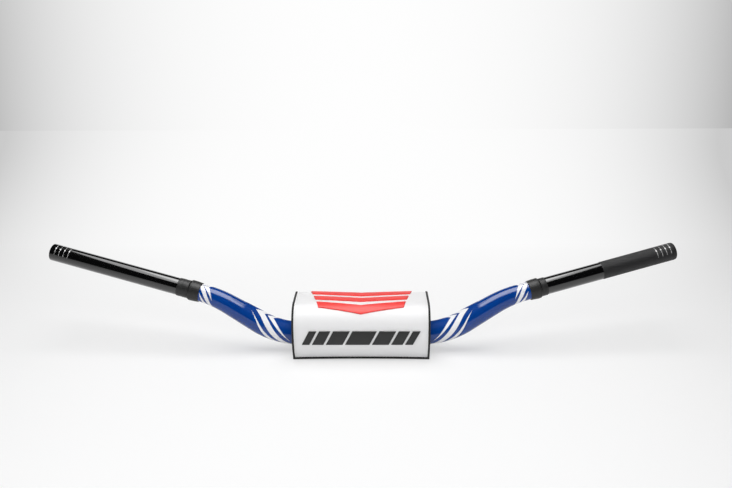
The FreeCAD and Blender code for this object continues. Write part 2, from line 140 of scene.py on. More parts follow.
# %% Mesh helpers
SHARP = math.radians(38)
MERGE_DISTANCE = 0.0005 * MM
NO_LENGTH = 0.0001 * MM


def new_object(name, data):
    made = bpy.data.objects.new(name, data)
    bpy.context.scene.collection.objects.link(made)
    return made


def new_piece(name, vertices, faces):
    """A mesh object at the origin, with its place in its mesh."""
    mesh = bpy.data.meshes.new(name)
    mesh.from_pydata([tuple(map(float, v)) for v in vertices], [], faces)
    mesh.update()
    return new_object(name, mesh)


def enclosed(piece):
    """Volume in cubic centimetres by the way the faces point, so it is negative for inward ones."""
    mesh = piece.data
    mesh.calc_loop_triangles()
    corners = np.array([mesh.vertices[i].co for t in mesh.loop_triangles for i in t.vertices])
    a, b, c = corners.reshape(-1, 3, 3).transpose(1, 0, 2)
    return float(np.einsum("ij,ij->", a, np.cross(b, c))) / 6e-6


def close_up(piece):
    """Merges what coincides, turns the faces outwards and shades all but real edges smoothly."""
    work = bmesh.new()
    work.from_mesh(piece.data)
    bmesh.ops.remove_doubles(work, verts=work.verts, dist=MERGE_DISTANCE)
    bmesh.ops.dissolve_degenerate(work, edges=work.edges, dist=NO_LENGTH)
    open_edges = sum(not edge.is_manifold for edge in work.edges)
    work.to_mesh(piece.data)
    work.free()
    if enclosed(piece) < 0:
        piece.data.flip_normals()
    piece.data.shade_smooth()
    piece.data.set_sharp_from_angle(angle=SHARP)
    faces, volume = len(piece.data.polygons), enclosed(piece)
    print(f"{piece.name}: {faces} faces, {volume:.2f} cm3, {open_edges} open edges")
    return piece


def surface(name, grid, across=None, along=None, loop_rows=False, loop_columns=False, caps=False):
    """Quads between rows of points, with a map: across the columns and along the rows, in mm."""
    rows, columns = grid.shape[:2]
    across = np.arange(columns + 1.0) if across is None else across
    along = np.arange(rows + 1.0) if along is None else along
    faces, uvs = [], []
    for i in range(rows - (not loop_rows)):
        for j in range(columns - (not loop_columns)):
            below, beside = (i + 1) % rows * columns, (j + 1) % columns
            faces.append((i * columns + j, i * columns + beside, below + beside, below + j))
            uvs += [(across[j], along[i]), (across[j + 1], along[i]),
                    (across[j + 1], along[i + 1]), (across[j], along[i + 1])]
    if caps:
        faces += [tuple(range(columns))[::-1], tuple(range((rows - 1) * columns, rows * columns))]
        uvs += [(across[j], along[0]) for j in range(columns)[::-1]]
        uvs += [(across[j], along[rows - 1]) for j in range(columns)]
    piece = new_piece(name, grid.reshape(-1, 3), faces)
    unrolled = piece.data.uv_layers.new(name="unrolled")
    unrolled.data.foreach_set("uv", np.array(uvs).ravel())
    return close_up(piece)


def eased(corners, reach):
    """Cuts the sharp corners of an outline by a narrow bevel, so that they catch the light."""
    outline = []
    for k, (x, y) in enumerate(corners):
        before, after = corners[k - 1], corners[(k + 1) % len(corners)]
        sides = [np.subtract(p, (x, y)) for p in (before, after)]
        lengths = [float(np.hypot(*side)) for side in sides]
        straight = abs(np.dot(*sides) / (lengths[0] * lengths[1]) + 1) < 0.06
        if straight:
            outline.append((x, y))
            continue
        for side, length in zip(sides, lengths):
            cut = min(reach, length / 3) / length
            outline.append((x + side[0] * cut, y + side[1] * cut))
    return outline


# %% Rings round the bar
AROUND = 72


def ring_piece(name, outline, lump=lambda station, angle: 0):
    """A round piece: its outline of (station, radius) is carried once round the bar."""
    angles = np.linspace(0, 2 * math.pi, AROUND, endpoint=False)
    rings = []
    for station, radius in outline:
        place, forward, upward = bar_line(station)
        rings.append([place + (radius + lump(station, a)) * (math.cos(a) * forward + math.sin(a) * upward)
                      for a in angles])
    degrees = np.linspace(0, 360, AROUND + 1)
    stations = [abs(station) / MM for station, _ in outline]
    return surface(name, np.array(rings), degrees, stations + stations[:1], loop_rows=True, loop_columns=True)


def stations_between(start, end, step=3.5 * MM):
    """Evenly spaced distances from start up to, but without, end."""
    count = max(1, round(abs(end - start) / step))
    return [start + (end - start) * k / count for k in range(count)]


def quarter(centre, radius, start, towards, steps=6):
    """Points of a quarter circle, by the directions of its first and last point."""
    points = []
    for k in range(steps + 1):
        angle = k / steps * math.pi / 2
        spoke = np.multiply(start, math.cos(angle)) + np.multiply(towards, math.sin(angle))
        points.append(tuple(np.add(centre, spoke * radius)))
    return points


# %% [markdown]
# ## Maths for finishes
# A finish is a tree of shader nodes. Written node by node it is hard to read, so one small class
# stands for a value on a wire: sums and products of such values add the Math nodes by themselves,
# and any other node comes from one method that takes its type, its settings and its inputs. The
# Geometry Nodes farther down are written with the same two classes.

# %% Wires and finishes


class Wire:
    """A value on its way through a tree of nodes."""

    def __init__(self, owner, socket):
        self.owner = owner
        self.socket = socket

    def __add__(self, other):
        return self.owner.maths("ADD", self, other)

    def __sub__(self, other):
        return self.owner.maths("SUBTRACT", self, other)

    def __rsub__(self, other):
        return self.owner.maths("SUBTRACT", other, self)

    def __mul__(self, other):
        return self.owner.maths("MULTIPLY", self, other)

    def __abs__(self):
        return self.owner.maths("ABSOLUTE", self)

    __radd__ = __add__
    __rmul__ = __mul__

    def or_more(self, other):
        return self.owner.maths("MAXIMUM", self, other)

    def above(self, edge, blur):
        """1 where the value is over an edge and 0 under it, with a blurred step."""
        step = (self - edge) * (1 / blur) + 0.5
        return self.owner.maths("MULTIPLY", step, 1, clamp=True)

    def between(self, low, high, blur):
        return self.above(low, blur) * (1 - self.above(high, blur))


class Nodes:
    """Makes nodes in its tree and gives each one's output as a wire."""

    def node(self, kind, settings, inputs, output=0):
        made = self.tree.nodes.new(kind)
        for setting, value in settings.items():
            setattr(made, setting, value)
        for socket, value in inputs.items():
            if isinstance(value, Wire):
                self.tree.links.new(value.socket, made.inputs[socket])
            else:
                made.inputs[socket].default_value = value
        return Wire(self, made.outputs[output])

    def maths(self, operation, *values, clamp=False):
        settings = {"operation": operation, "use_clamp": clamp}
        return self.node("ShaderNodeMath", settings, dict(enumerate(values)))


class Finish(Nodes):
    """A material on the Principled shader; its fixed values are set on the shader's own sockets."""

    def __init__(self, name, **fixed):
        self.material = bpy.data.materials.new(name)
        self.material.use_nodes = True
        self.tree = self.material.node_tree
        self.shader = self.tree.nodes["Principled BSDF"]
        for socket, value in fixed.items():
            self.shader.inputs[socket.replace("_", " ")].default_value = value
        self.place = self.node("ShaderNodeTexCoord", {}, {}, "Object")

    def vectors(self, operation, first, second=(0, 0, 0), output=0):
        return self.node("ShaderNodeVectorMath", {"operation": operation}, {0: first, 1: second}, output)

    def parts(self, vector):
        """The three numbers of a vector."""
        return [self.node("ShaderNodeSeparateXYZ", {}, {0: vector}, k) for k in range(3)]

    def unrolled(self):
        """Across and along the piece in millimetres, or degrees round the bar and its distance."""
        return self.parts(self.node("ShaderNodeUVMap", {"uv_map": "unrolled"}, {}))[:2]

    def noise(self, scale, detail, stretch=None):
        where = self.vectors("MULTIPLY", self.place, stretch) if stretch else self.place
        return self.node("ShaderNodeTexNoise", {}, {"Vector": where, "Scale": scale, "Detail": detail})

    def cells(self, scale, feature="F1"):
        return self.node("ShaderNodeTexVoronoi", {"feature": feature}, {"Vector": self.place, "Scale": scale})

    def blend(self, mask, under, over):
        """A colour that goes from one to the other with a mask."""
        return self.node("ShaderNodeMix", {"data_type": "RGBA"}, {0: mask, 6: under, 7: over}, 2)

    def relief(self, height, depth):
        """Bumps whose height of 0 to 1 stands for a depth in metres."""
        self.set(Normal=self.node("ShaderNodeBump", {}, {"Distance": depth, "Height": height}))

    def shaded(self, mask, greys, roughness, gain):
        """Grey and roughness that both follow one mask."""
        low, high = map(grey, greys)
        self.set(Base_Color=self.blend(mask, low, high), Roughness=mask * gain + roughness)

    def set(self, **inputs):
        for socket, wire in inputs.items():
            self.tree.links.new(wire.socket, self.shader.inputs[socket.replace("_", " ")])


def grey(value):
    return (value, value, value, 1)


def dress(piece, finish):
    """One finish on the whole piece, which rides on the only body there is."""
    piece.data.materials.clear()
    piece.data.materials.append(finish.material)
    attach(piece, "root")


# %% [markdown]
# ## Gloss black with marks at the ends
# The tube is painted gloss black. Near each end four thin white rings with a dot each show where
# it may be cut, and the last 100 mm on the right are knurled, so that a glued grip holds. The rings
# are printed, so they belong in the finish: their place follows from the distance to the tip and
# from how far forward and up a point lies, all plain dot products with the grip's own directions.

# %% The finish of the tube
MARK_PITCH = 6.1 * MM
MARK_FIRST = 7.6 * MM
MARK_COUNT = 4
MARK_HALF = 0.24 * MM
DOT_RADIUS = 0.85 * MM
DOT_LEVEL = 8.6 * MM
RING_LOWEST = 1.0 * MM
RING_BACK = -9 * MM
KNURL_LENGTH = 100 * MM

paint = Finish("gloss_black_paint", Coat_Roughness=0.03, Coat_IOR=1.5)
mirrored = paint.vectors("MULTIPLY", paint.vectors("ABSOLUTE", paint.place), (1, 0, 0))
mirrored = paint.vectors("ADD", mirrored, paint.vectors("MULTIPLY", paint.place, (0, 1, 1)))
from_tip = paint.vectors("SUBTRACT", mirrored, tuple(TIP))
_, tip_forward, tip_upward = bar_line(BAR_END)
inwards = paint.vectors("DOT_PRODUCT", from_tip, tuple(-GRIP_DIRECTION), "Value")
front = paint.vectors("DOT_PRODUCT", from_tip, tuple(tip_forward), "Value")
up = paint.vectors("DOT_PRODUCT", from_tip, tuple(tip_upward), "Value")

pitch_count = (inwards - (MARK_FIRST - MARK_PITCH / 2)) * (1 / MARK_PITCH)
from_mark = abs(paint.maths("FRACT", pitch_count) - 0.5) * MARK_PITCH
in_rows = pitch_count.between(0, MARK_COUNT, 0.02)
worn = paint.noise(900, 3).above(0.44, 0.2)
ring = (1 - from_mark.above(MARK_HALF, 0.15 * MM)) * up.above(RING_LOWEST, 1.5 * MM) * worn
to_dot = paint.maths("SQRT", from_mark * from_mark + (up - DOT_LEVEL) * (up - DOT_LEVEL))
dot = (1 - to_dot.above(DOT_RADIUS, 0.25 * MM)) * front.above(0, 0.2 * MM)
marks = (ring * front.above(RING_BACK, 1 * MM)).or_more(dot) * in_rows

knurled = paint.parts(paint.place)[0].above(0, 1 * MM) * (1 - inwards.above(KNURL_LENGTH, 0.4 * MM))
dust = paint.noise(38, 4) * 0.05
gloss_black = paint.blend(knurled, (0.001, 0.001, 0.0012, 1), (0.009, 0.009, 0.0094, 1))
paint.set(Base_Color=paint.blend(marks, gloss_black, grey(0.75)),
          Roughness=(knurled * (paint.noise(260, 6) * 0.2 + 0.3) + 0.08 + dust).or_more(marks * 0.4),
          Coat_Weight=(1 - knurled) * (1 - marks))
paint.relief(paint.noise(420, 1), 0.01 * MM)

bare_metal = Finish("bare_aluminium_bore", Metallic=1.0)
scoring = bare_metal.noise(900, 5, (0.04, 1, 1))
bare_metal.shaded(scoring, (0.32, 0.5), 0.35, 0.3)
print("nodes in the paint:", len(paint.tree.nodes))

# %% [markdown]
# ## The tube
# The outline of the tube starts at the left tip, follows the outside to the right tip, turns in over
# the rounded rim and comes back along the bore, whose wall is 3.9 mm in the middle and 4 mm at the
# ends. Two shallow seats hold the collars. Carried round the bar, that outline is the whole tube.

# %% Outline and rings of the tube
TIP_ROUNDING = 1.6 * MM
TIP_CHAMFER = 0.8 * MM
SEAT_DEPTH = 0.25 * MM
COLLAR_LENGTH = 14.7 * MM
SEAT_RUN_OUT = 0.5 * MM
COLLARS = {
    "left": {"side": -1, "start": OUTER_END + 0.7 * MM, "neck": 15.1 * MM},
    "right": {"side": 1, "start": OUTER_END + 8.5 * MM, "neck": 8.3 * MM},
}


def tube_outside(side, start, neck):
    """Outline of one half, from the middle to the edge of the bore."""
    seat_end = start + COLLAR_LENGTH + neck + SEAT_RUN_OUT
    seat = GRIP_RADIUS - SEAT_DEPTH
    rows = [(s, bar_radius(s)) for s in stations_between(0, start)]
    rows += [(start, GRIP_RADIUS), (start + 0.02 * MM, seat), (seat_end - 0.02 * MM, seat)]
    rows += [(s, GRIP_RADIUS) for s in stations_between(seat_end, BAR_END - TIP_ROUNDING)]
    rows += quarter((BAR_END - TIP_ROUNDING, GRIP_RADIUS - TIP_ROUNDING), TIP_ROUNDING, (0, 1), (1, 0))
    rows += [(BAR_END, GRIP_BORE + TIP_CHAMFER), (BAR_END - TIP_CHAMFER, GRIP_BORE)]
    return [(side * s, r) for s, r in rows]


right_outside = tube_outside(**COLLARS["right"])
left_outside = tube_outside(**COLLARS["left"])[::-1]
bore = [(s, bar_radius(s, CLAMP_BORE, GRIP_BORE))
        for s in stations_between(BAR_END - TIP_CHAMFER, TIP_CHAMFER - BAR_END, 5 * MM)[1:]]
outline = left_outside[:-1] + right_outside + bore
bar = ring_piece("bar_tube_painted", outline)
dress(bar, paint)
bar.data.materials.append(bare_metal.material)
for polygon in bar.data.polygons:
    ring_numbers = [vertex // AROUND for vertex in polygon.vertices]
    polygon.material_index = int(min(ring_numbers) >= len(outline) - len(bore) - 1)
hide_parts("bar_tube")

# %% [markdown]
# ## The knurl
# Knurling presses two crossing sets of fine grooves into the tube, which leaves rows of small
# pyramids. A bump map can't change the outline, and modelling thousands of them by hand is no way to
# work. Geometry Nodes is made for this: a grid of points is rolled round the tube, every second row
# half a step on, and each point gets a pyramid.

# %% A small helper for node trees


class Tree(Nodes):
    """A Geometry Nodes tree with named inputs, to be put on a mesh and then made plain."""

    def __init__(self, name, **sizes):
        self.tree = bpy.data.node_groups.new(name, "GeometryNodeTree")
        for way in ("INPUT", "OUTPUT"):
            self.tree.interface.new_socket("Geometry", in_out=way, socket_type="NodeSocketGeometry")
        self.sizes = sizes
        for label, value in sizes.items():
            kind = "NodeSocketInt" if isinstance(value, int) else "NodeSocketFloat"
            self.tree.interface.new_socket(label, in_out="INPUT", socket_type=kind)
        self.entry = self.tree.nodes.new("NodeGroupInput")

    def size(self, label):
        return Wire(self, self.entry.outputs[label])

    def join(self, x, y, z):
        return self.node("ShaderNodeCombineXYZ", {}, {0: x, 1: y, 2: z})

    def grow(self, name, seed_mesh, geometry, finish):
        """Runs the tree on a mesh and returns the result as a plain mesh object."""
        geometry = self.node("GeometryNodeRealizeInstances", {}, {0: geometry})
        geometry = self.node("GeometryNodeSetMaterial", {}, {0: geometry, "Material": finish.material})
        leave = self.tree.nodes.new("NodeGroupOutput")
        self.tree.links.new(geometry.socket, leave.inputs[0])
        seed_object = new_object(name + "_seed", seed_mesh)
        modifier = seed_object.modifiers.new(name, "NODES")
        modifier.node_group = self.tree
        for item in self.tree.interface.items_tree:
            if item.name in self.sizes:
                modifier[item.identifier] = self.sizes[item.name]
        evaluated = seed_object.evaluated_get(bpy.context.evaluated_depsgraph_get())
        mesh = bpy.data.meshes.new_from_object(evaluated)
        mesh.name = name
        bpy.data.objects.remove(seed_object)
        return new_object(name, mesh)


# %% Roll the pyramids round the right-hand end
KNURL_AROUND = 44
KNURL_HEIGHT = 0.19 * MM
KNURL_SUNK = 0.03 * MM
knurl_pitch = 2 * math.pi * GRIP_RADIUS / KNURL_AROUND
knurl_run = KNURL_LENGTH - TIP_ROUNDING - knurl_pitch
knurl_rows = int(knurl_run / knurl_pitch * 2)

tree = Tree("knurling", Rows=knurl_rows, Around=KNURL_AROUND, Pitch=knurl_pitch,
            Radius=GRIP_RADIUS, Height=KNURL_HEIGHT)
points = tree.node("GeometryNodeMeshGrid", {}, {
    "Size X": 1.0, "Size Y": 1.0, "Vertices X": tree.size("Rows"), "Vertices Y": tree.size("Around")})
number = tree.node("GeometryNodeInputIndex", {}, {})
row = tree.maths("FLOOR", tree.maths("DIVIDE", number + 0.5, tree.size("Around")))
column = number - row * tree.size("Around")
half_step = tree.maths("MODULO", row, 2.0) * 0.5
turn = (column + half_step) * tree.maths("DIVIDE", 2 * math.pi, tree.size("Around"))
sunk = tree.size("Radius") - KNURL_SUNK
rolled = tree.join(row * tree.size("Pitch") * 0.5,
                   tree.maths("SINE", turn) * sunk * -1, tree.maths("COSINE", turn) * sunk)
points = tree.node("GeometryNodeSetPosition", {}, {0: points, "Position": rolled})
pyramid = tree.node("GeometryNodeMeshCone", {}, {
    "Vertices": 4, "Radius Top": 0.0, "Radius Bottom": tree.size("Pitch") * 0.5,
    "Depth": tree.size("Height") + KNURL_SUNK})
studs = tree.node("GeometryNodeInstanceOnPoints", {}, {
    "Points": points, "Instance": pyramid, "Rotation": tree.join(turn, 0.0, 0.0)})
knurl = tree.grow("knurl", bpy.data.meshes.new("knurl_seed"), studs, paint)
place, forward, upward = bar_line(BAR_END - KNURL_LENGTH + knurl_pitch / 2)
axes = np.array([GRIP_DIRECTION, -forward, upward]).T
knurl.data.transform(Matrix([[*axes[k], place[k]] for k in range(3)] + [[0, 0, 0, 1]]))
knurl.data.shade_flat()
dress(knurl, paint)
print("knurl:", knurl_rows, "rows,", len(knurl.data.polygons), "faces,", round(enclosed(knurl), 3), "cm3")

# %% [markdown]
# ## The printed film
# A self-adhesive film is wrapped round each bend: racing stripes in white on royal blue, under a
# clear gloss. Wrapped film creases nowhere because it shrinks on, so it follows the tube at a
# constant thickness. The print is drawn in the finish from the map of the sleeve, which is degrees
# round the bar and millimetres from its middle. Each stripe lies between two lines that are straight
# in that map, and the pattern is folded over at the top, where both sides meet in a chevron. The two
# films were laid by hand: the right one is shifted and leans a little more.
#
# In the photo the highlight on top of the film ends about 160 mm from the middle. The cause wasn't
# found, so this is drawn: up to there the upper side has no clear coat.

# %% The print
FOLD = 75
HAND_LAID = {
    "left": {"inner": 0.0, "lean": 1.0, "outer": 0.0},
    "right": {"inner": 0.7, "lean": 1.07, "outer": 2.6},
}
# The low and the high line of each stripe, as millimetres at the front and millimetres a degree.
INNER_STRIPES = [((95.8, 0.273), (98.4, 0.363)), ((105.9, 0.330), (116.5, 0.353)),
                 ((125.6, 0.400), (130.1, 0.318))]
OUTER_STRIPES = [((17.4, -0.200), (18.0, -0.120)), ((7.6, -0.150), (13.2, -0.150)),
                 ((1.95, -0.090), (3.35, -0.170))]
PRINT_BLUR = 0.25
GLOSS_FROM = 158
GLOSS_UP_TO = 12


def film_print(name, film_end, inner, lean, outer):
    """Stripes on blue; film_end is the end of the sleeve in mm, the rest how the film was laid."""
    film = Finish(name, Coat_Roughness=0.03, Coat_IOR=1.5, Specular_IOR_Level=0.05)
    degrees, station = film.unrolled()
    round_it = abs(degrees - FOLD)
    turned = FOLD - (180 - abs(180 - round_it))
    from_middle = station - inner
    to_collar = film_end - outer - station

    def stripe(position, lines, slope):
        low, high = (turned * (line[1] * slope) + line[0] for line in lines)
        return (position - low).above(0, PRINT_BLUR) * (high - position).above(0, PRINT_BLUR)

    stripes = [stripe(from_middle, lines, lean) for lines in INNER_STRIPES]
    stripes += [stripe(to_collar, lines, 1) for lines in OUTER_STRIPES]
    white = stripes[0]
    for next_stripe in stripes[1:]:
        white = white.or_more(next_stripe)
    ink = film.blend(film.noise(30, 3), (0.0, 0.033, 0.205, 1), (0.0, 0.046, 0.260, 1))
    gloss = station.above(GLOSS_FROM, 5).or_more(1 - turned.above(GLOSS_UP_TO, 12))
    film.set(Base_Color=film.blend(white, ink, (0.80, 0.80, 0.82, 1)),
             Roughness=film.noise(60, 3) * 0.08 + 0.40 - gloss * 0.22, Coat_Weight=gloss)
    film.relief(film.noise(160, 2), 0.012 * MM)
    return film


# %% The two sleeves
GLUE = 0.05 * MM
FILM = 0.25 * MM
film_start = INNER_START - 5 * MM
for hand, collar in COLLARS.items():
    stations = stations_between(film_start, collar["start"], 2.5 * MM) + [collar["start"] - 0.05 * MM]
    outline = [(s, bar_radius(s) + GLUE + FILM) for s in stations]
    outline += [(s, bar_radius(s) + GLUE) for s in stations[::-1]]
    sleeve = ring_piece(f"film_{hand}", [(collar["side"] * s, r) for s, r in outline])
    film = film_print(f"printed_film_{hand}", collar["start"] / MM, **HAND_LAID[hand])
    dress(sleeve, film)
    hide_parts(f"graphic_{hand}")
    print("nodes in the print:", len(film.tree.nodes))

# %% [markdown]
# ## The collars
# The grips' end collars are moulded rubber: a bevelled inner face, a body that swells slightly to a
# flat crest, a rounded shoulder and a thin neck that is cut off where the grip would begin. Soft
# rubber on a tube is never quite round, so the rings get a few slow lumps. Its finish is nearly
# black and satin, with the fine grain of the mould.

# %% Rubber and rings
rubber = Finish("collar_rubber", Specular_IOR_Level=0.4)
grain = rubber.noise(1500, 4)
rubber.set(Base_Color=rubber.blend(rubber.noise(90, 4), grey(0.012), grey(0.020)),
           Roughness=grain * 0.16 + rubber.noise(120, 3) * 0.12 + 0.30)
rubber.relief(grain, 0.05 * MM)

NECK_RADIUS = 11.5 * MM
COLLAR_BORE = 10.9 * MM
ROOT_RADIUS = 12.3 * MM
CREST_RADIUS = 13 * MM
SHOULDER_ROUNDING = 1.8 * MM
NECK_ROOT = 0.6 * MM
INNER_BEVEL = 0.9 * MM
NECK_EDGE = 0.3 * MM
CREST_RUN = 9 * MM


def rubber_lumps(station, angle):
    """How far a point is off the round, 0.09 mm at most."""
    wave = math.sin(3 * angle + 700 * station) + 0.7 * math.sin(5 * angle - 1100 * station)
    return 0.05 * MM * wave


for hand, collar in COLLARS.items():
    start = collar["start"]
    crest_end = start + COLLAR_LENGTH
    neck_end = crest_end + collar["neck"]
    outline = [(start, COLLAR_BORE), (start, ROOT_RADIUS - INNER_BEVEL)]
    outline += quarter((start + INNER_BEVEL, ROOT_RADIUS - INNER_BEVEL), INNER_BEVEL, (-1, 0), (0, 1), 4)[1:]
    body = stations_between(start + 1.6 * MM, crest_end - SHOULDER_ROUNDING, 1.6 * MM)
    outline += [(s, ROOT_RADIUS + (CREST_RADIUS - ROOT_RADIUS) * min(1, (s - start) / CREST_RUN))
                for s in body]
    outline += quarter((crest_end - SHOULDER_ROUNDING, CREST_RADIUS - SHOULDER_ROUNDING),
                       SHOULDER_ROUNDING, (0, 1), (1, 0))
    outline += quarter((crest_end + NECK_ROOT, NECK_RADIUS + NECK_ROOT), NECK_ROOT, (-1, 0), (0, -1), 3)
    outline += [(s, NECK_RADIUS) for s in stations_between(crest_end + 1 * MM, neck_end - 0.4 * MM, 1.5 * MM)]
    outline += quarter((neck_end - NECK_EDGE, NECK_RADIUS - NECK_EDGE), NECK_EDGE, (0, 1), (1, 0), 3)
    outline += [(neck_end, COLLAR_BORE)]
    piece = ring_piece(f"rubber_collar_{hand}", [(collar["side"] * s, r) for s, r in outline], rubber_lumps)
    dress(piece, rubber)
    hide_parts(f"collar_{hand}")

# %% [markdown]
# ## The section of the pad
# The pad is a block of foam in a sewn cover: a flat top, round shoulders and sides that draw in
# towards the lower edge. All of its pieces follow that one section, so a function gives the place
# and the outward direction at any distance from the middle of the top, measured over the surface.

# %% A point on the pad
PAD_TOP = 46.6 * MM
PAD_FLAT = 20 * MM
SHOULDER_RADIUS = 25 * MM
SIDE_RADIUS = 68 * MM
SHOULDER_LEVEL = PAD_TOP - SHOULDER_RADIUS
FOAM_BOTTOM = -20.2 * MM
PAD_BOTTOM = -23 * MM
SIDE_CENTRE = PAD_FLAT + SHOULDER_RADIUS - SIDE_RADIUS
SHOULDER_END = PAD_FLAT + SHOULDER_RADIUS * math.pi / 2
SIDE_FALL = math.asin((SHOULDER_LEVEL - FOAM_BOTTOM) / SIDE_RADIUS)
HEM = SHOULDER_END + SIDE_RADIUS * SIDE_FALL
PAD_HALF = 84.25 * MM
PIPING_WIDTH = 2.6 * MM
COVER_HALF = PAD_HALF - PIPING_WIDTH
COVER = 1.5 * MM
HEM_BOW = 0.9 * MM


def pad_section(over, height=0.0):
    """Place (y, z) and outward direction at a distance over the surface, negative at the front."""
    side, over = (1 if over >= 0 else -1), abs(over)
    if over <= PAD_FLAT:
        return np.array([side * over, PAD_TOP + height]), np.array([0.0, 1.0])
    if over <= SHOULDER_END:
        angle = (over - PAD_FLAT) / SHOULDER_RADIUS
        outward = np.array([math.sin(angle), math.cos(angle)])
        place = np.array([PAD_FLAT, SHOULDER_LEVEL]) + outward * (SHOULDER_RADIUS + height)
    else:
        angle = (over - SHOULDER_END) / SIDE_RADIUS
        outward = np.array([math.cos(angle), -math.sin(angle)])
        place = np.array([SIDE_CENTRE, SHOULDER_LEVEL]) + outward * (SIDE_RADIUS + height)
    return place * [side, 1], outward * [side, 1]


def smooth_step(value):
    value = min(max(value, 0.0), 1.0)
    return value * value * (3 - 2 * value)


print("round the pad, hem to hem:", round(2 * HEM / MM, 1), "mm")

# %% [markdown]
# ## Letting the foam press on the cover
# A sewn cover isn't a drawn surface: the foam pushes it out between its seams, most in the middle of
# each face and least where the piping and the hem hold it. Blender's Cloth does that job. A sheet in
# the shape of the section is pinned at its seams and put under a light pressure without gravity for
# 20 frames. Only how far each point moved outwards is kept, with a cap, so that the same swell can
# be given to the cover and to the mouldings that are welded onto it.

# %% Simulate the swell
SWELL_ROWS = 41
SWELL_COLUMNS = 54
SWELL_CAP = 1.1 * MM
SWELL_FRAMES = 20
swell_stations = np.linspace(-COVER_HALF, COVER_HALF, SWELL_ROWS)
swell_overs = np.linspace(-HEM, HEM, SWELL_COLUMNS)


def simulated_swell():
    """How far each point of the sheet moves outwards, in metres."""
    start = np.array([[[x, *pad_section(over)[0]] for over in swell_overs] for x in swell_stations])
    outward = np.array([[0.0, *pad_section(over)[1]] for over in swell_overs])
    faces = [(i * SWELL_COLUMNS + j, (i + 1) * SWELL_COLUMNS + j,
              (i + 1) * SWELL_COLUMNS + j + 1, i * SWELL_COLUMNS + j + 1)
             for i in range(SWELL_ROWS - 1) for j in range(SWELL_COLUMNS - 1)]
    sheet = new_piece("swell_sheet", start.reshape(-1, 3), faces)
    if sheet.data.polygons[SWELL_COLUMNS // 2].normal.z < 0:
        sheet.data.flip_normals()
    seams = sheet.vertex_groups.new(name="seams")
    held = [i * SWELL_COLUMNS + j for i in range(SWELL_ROWS) for j in range(SWELL_COLUMNS)
            if i in (0, SWELL_ROWS - 1) or j in (0, SWELL_COLUMNS - 1)]
    seams.add(held, 1.0, "REPLACE")
    cloth = sheet.modifiers.new("cloth", "CLOTH").settings
    cloth.vertex_group_mass = "seams"
    cloth.use_pressure = True
    cloth.uniform_pressure_force = 4
    cloth.tension_stiffness = cloth.compression_stiffness = 40
    cloth.bending_stiffness = 2
    cloth.effector_weights.gravity = 0
    scene = bpy.context.scene
    for number in range(1, SWELL_FRAMES + 1):
        scene.frame_set(number)
    moved = sheet.evaluated_get(bpy.context.evaluated_depsgraph_get()).to_mesh()
    end = np.array([vertex.co for vertex in moved.vertices]).reshape(start.shape)
    scene.frame_set(1)
    bpy.data.objects.remove(sheet)
    return np.einsum("ijk,jk->ij", end - start, outward)


swell = simulated_swell()
print("swell before the cap:", round(swell.min() / MM, 2), "to", round(swell.max() / MM, 2), "mm")
swell = SWELL_CAP * np.tanh(np.maximum(swell, 0) / SWELL_CAP)


def swell_at(x, over):
    """The swell between the points of the grid."""
    i = (x + COVER_HALF) / (2 * COVER_HALF) * (SWELL_ROWS - 1)
    j = (over + HEM) / (2 * HEM) * (SWELL_COLUMNS - 1)
    i, j = min(max(i, 0), SWELL_ROWS - 1.001), min(max(j, 0), SWELL_COLUMNS - 1.001)
    a, b = int(i), int(j)
    u, v = (smooth_step(i - a) + i - a) / 2, (smooth_step(j - b) + j - b) / 2
    near = swell[a, b] * (1 - v) + swell[a, b + 1] * v
    far = swell[a + 1, b] * (1 - v) + swell[a + 1, b + 1] * v
    return near * (1 - u) + far * u


def hem_bow(x):
    """How far the hem bows up at x, most in the middle."""
    return HEM_BOW * (1 - (x / PAD_HALF) ** 2)


def pad_point(x, over, height=0.0, raised=True):
    """A point at a height over the cover, which is swollen if raised."""
    height += swell_at(x, over) if raised and abs(x) < COVER_HALF else 0
    (y, z), _ = pad_section(over, height)
    return (x, y, z + hem_bow(x) * smooth_step((abs(over) / HEM - 0.8) / 0.2))


# %% [markdown]
# ## The cover
# The cover is 1.5 mm of white coated fabric on a thin felt. The swell gives its large form. Along
# the seams the thread pulls it in at every stitch, which leaves fine puckers that fade within a few
# millimetres. Its finish is a satin white with the fine leather grain of coated fabric, a little
# greyer where hands and dirt reach it, along the piping.

# %% White coated fabric
white = Finish("white_coated_fabric", Specular_IOR_Level=0.45, Sheen_Weight=0.08)
fold_lines = white.cells(1150, "DISTANCE_TO_EDGE").above(0.10, 0.2)
_, along = white.unrolled()
soiled = white.noise(70, 5).above(0.52, 0.35) * abs(along).above(COVER_HALF / MM - 4, 9)
white.set(Base_Color=white.blend(soiled * 0.25, (0.80, 0.80, 0.805, 1), (0.62, 0.61, 0.59, 1)),
          Roughness=fold_lines * 0.08 + white.noise(55, 4) * 0.12 + 0.38)
white.relief(fold_lines, 0.035 * MM)
print("nodes in the white fabric:", len(white.tree.nodes))

# %% Cover as a closed sheet
PUCKER = 0.16 * MM
PUCKER_PITCH = 3.4 * MM
CLOSE_ROWS = 5
CLOSE_STEP = 0.5 * MM


def pucker(x, over):
    """Small waves that the stitches draw along the four seams; at the piping they also pull it in."""
    to_piping = COVER_HALF - abs(x)
    by_piping = math.exp(-to_piping / (2.6 * MM)) * math.sin(2 * math.pi * over / PUCKER_PITCH)
    by_hem = math.exp(-(HEM - abs(over)) / (3.0 * MM)) * math.sin(2 * math.pi * x / PUCKER_PITCH)
    return PUCKER * (by_piping + by_hem - math.exp(-to_piping / (1.2 * MM)))


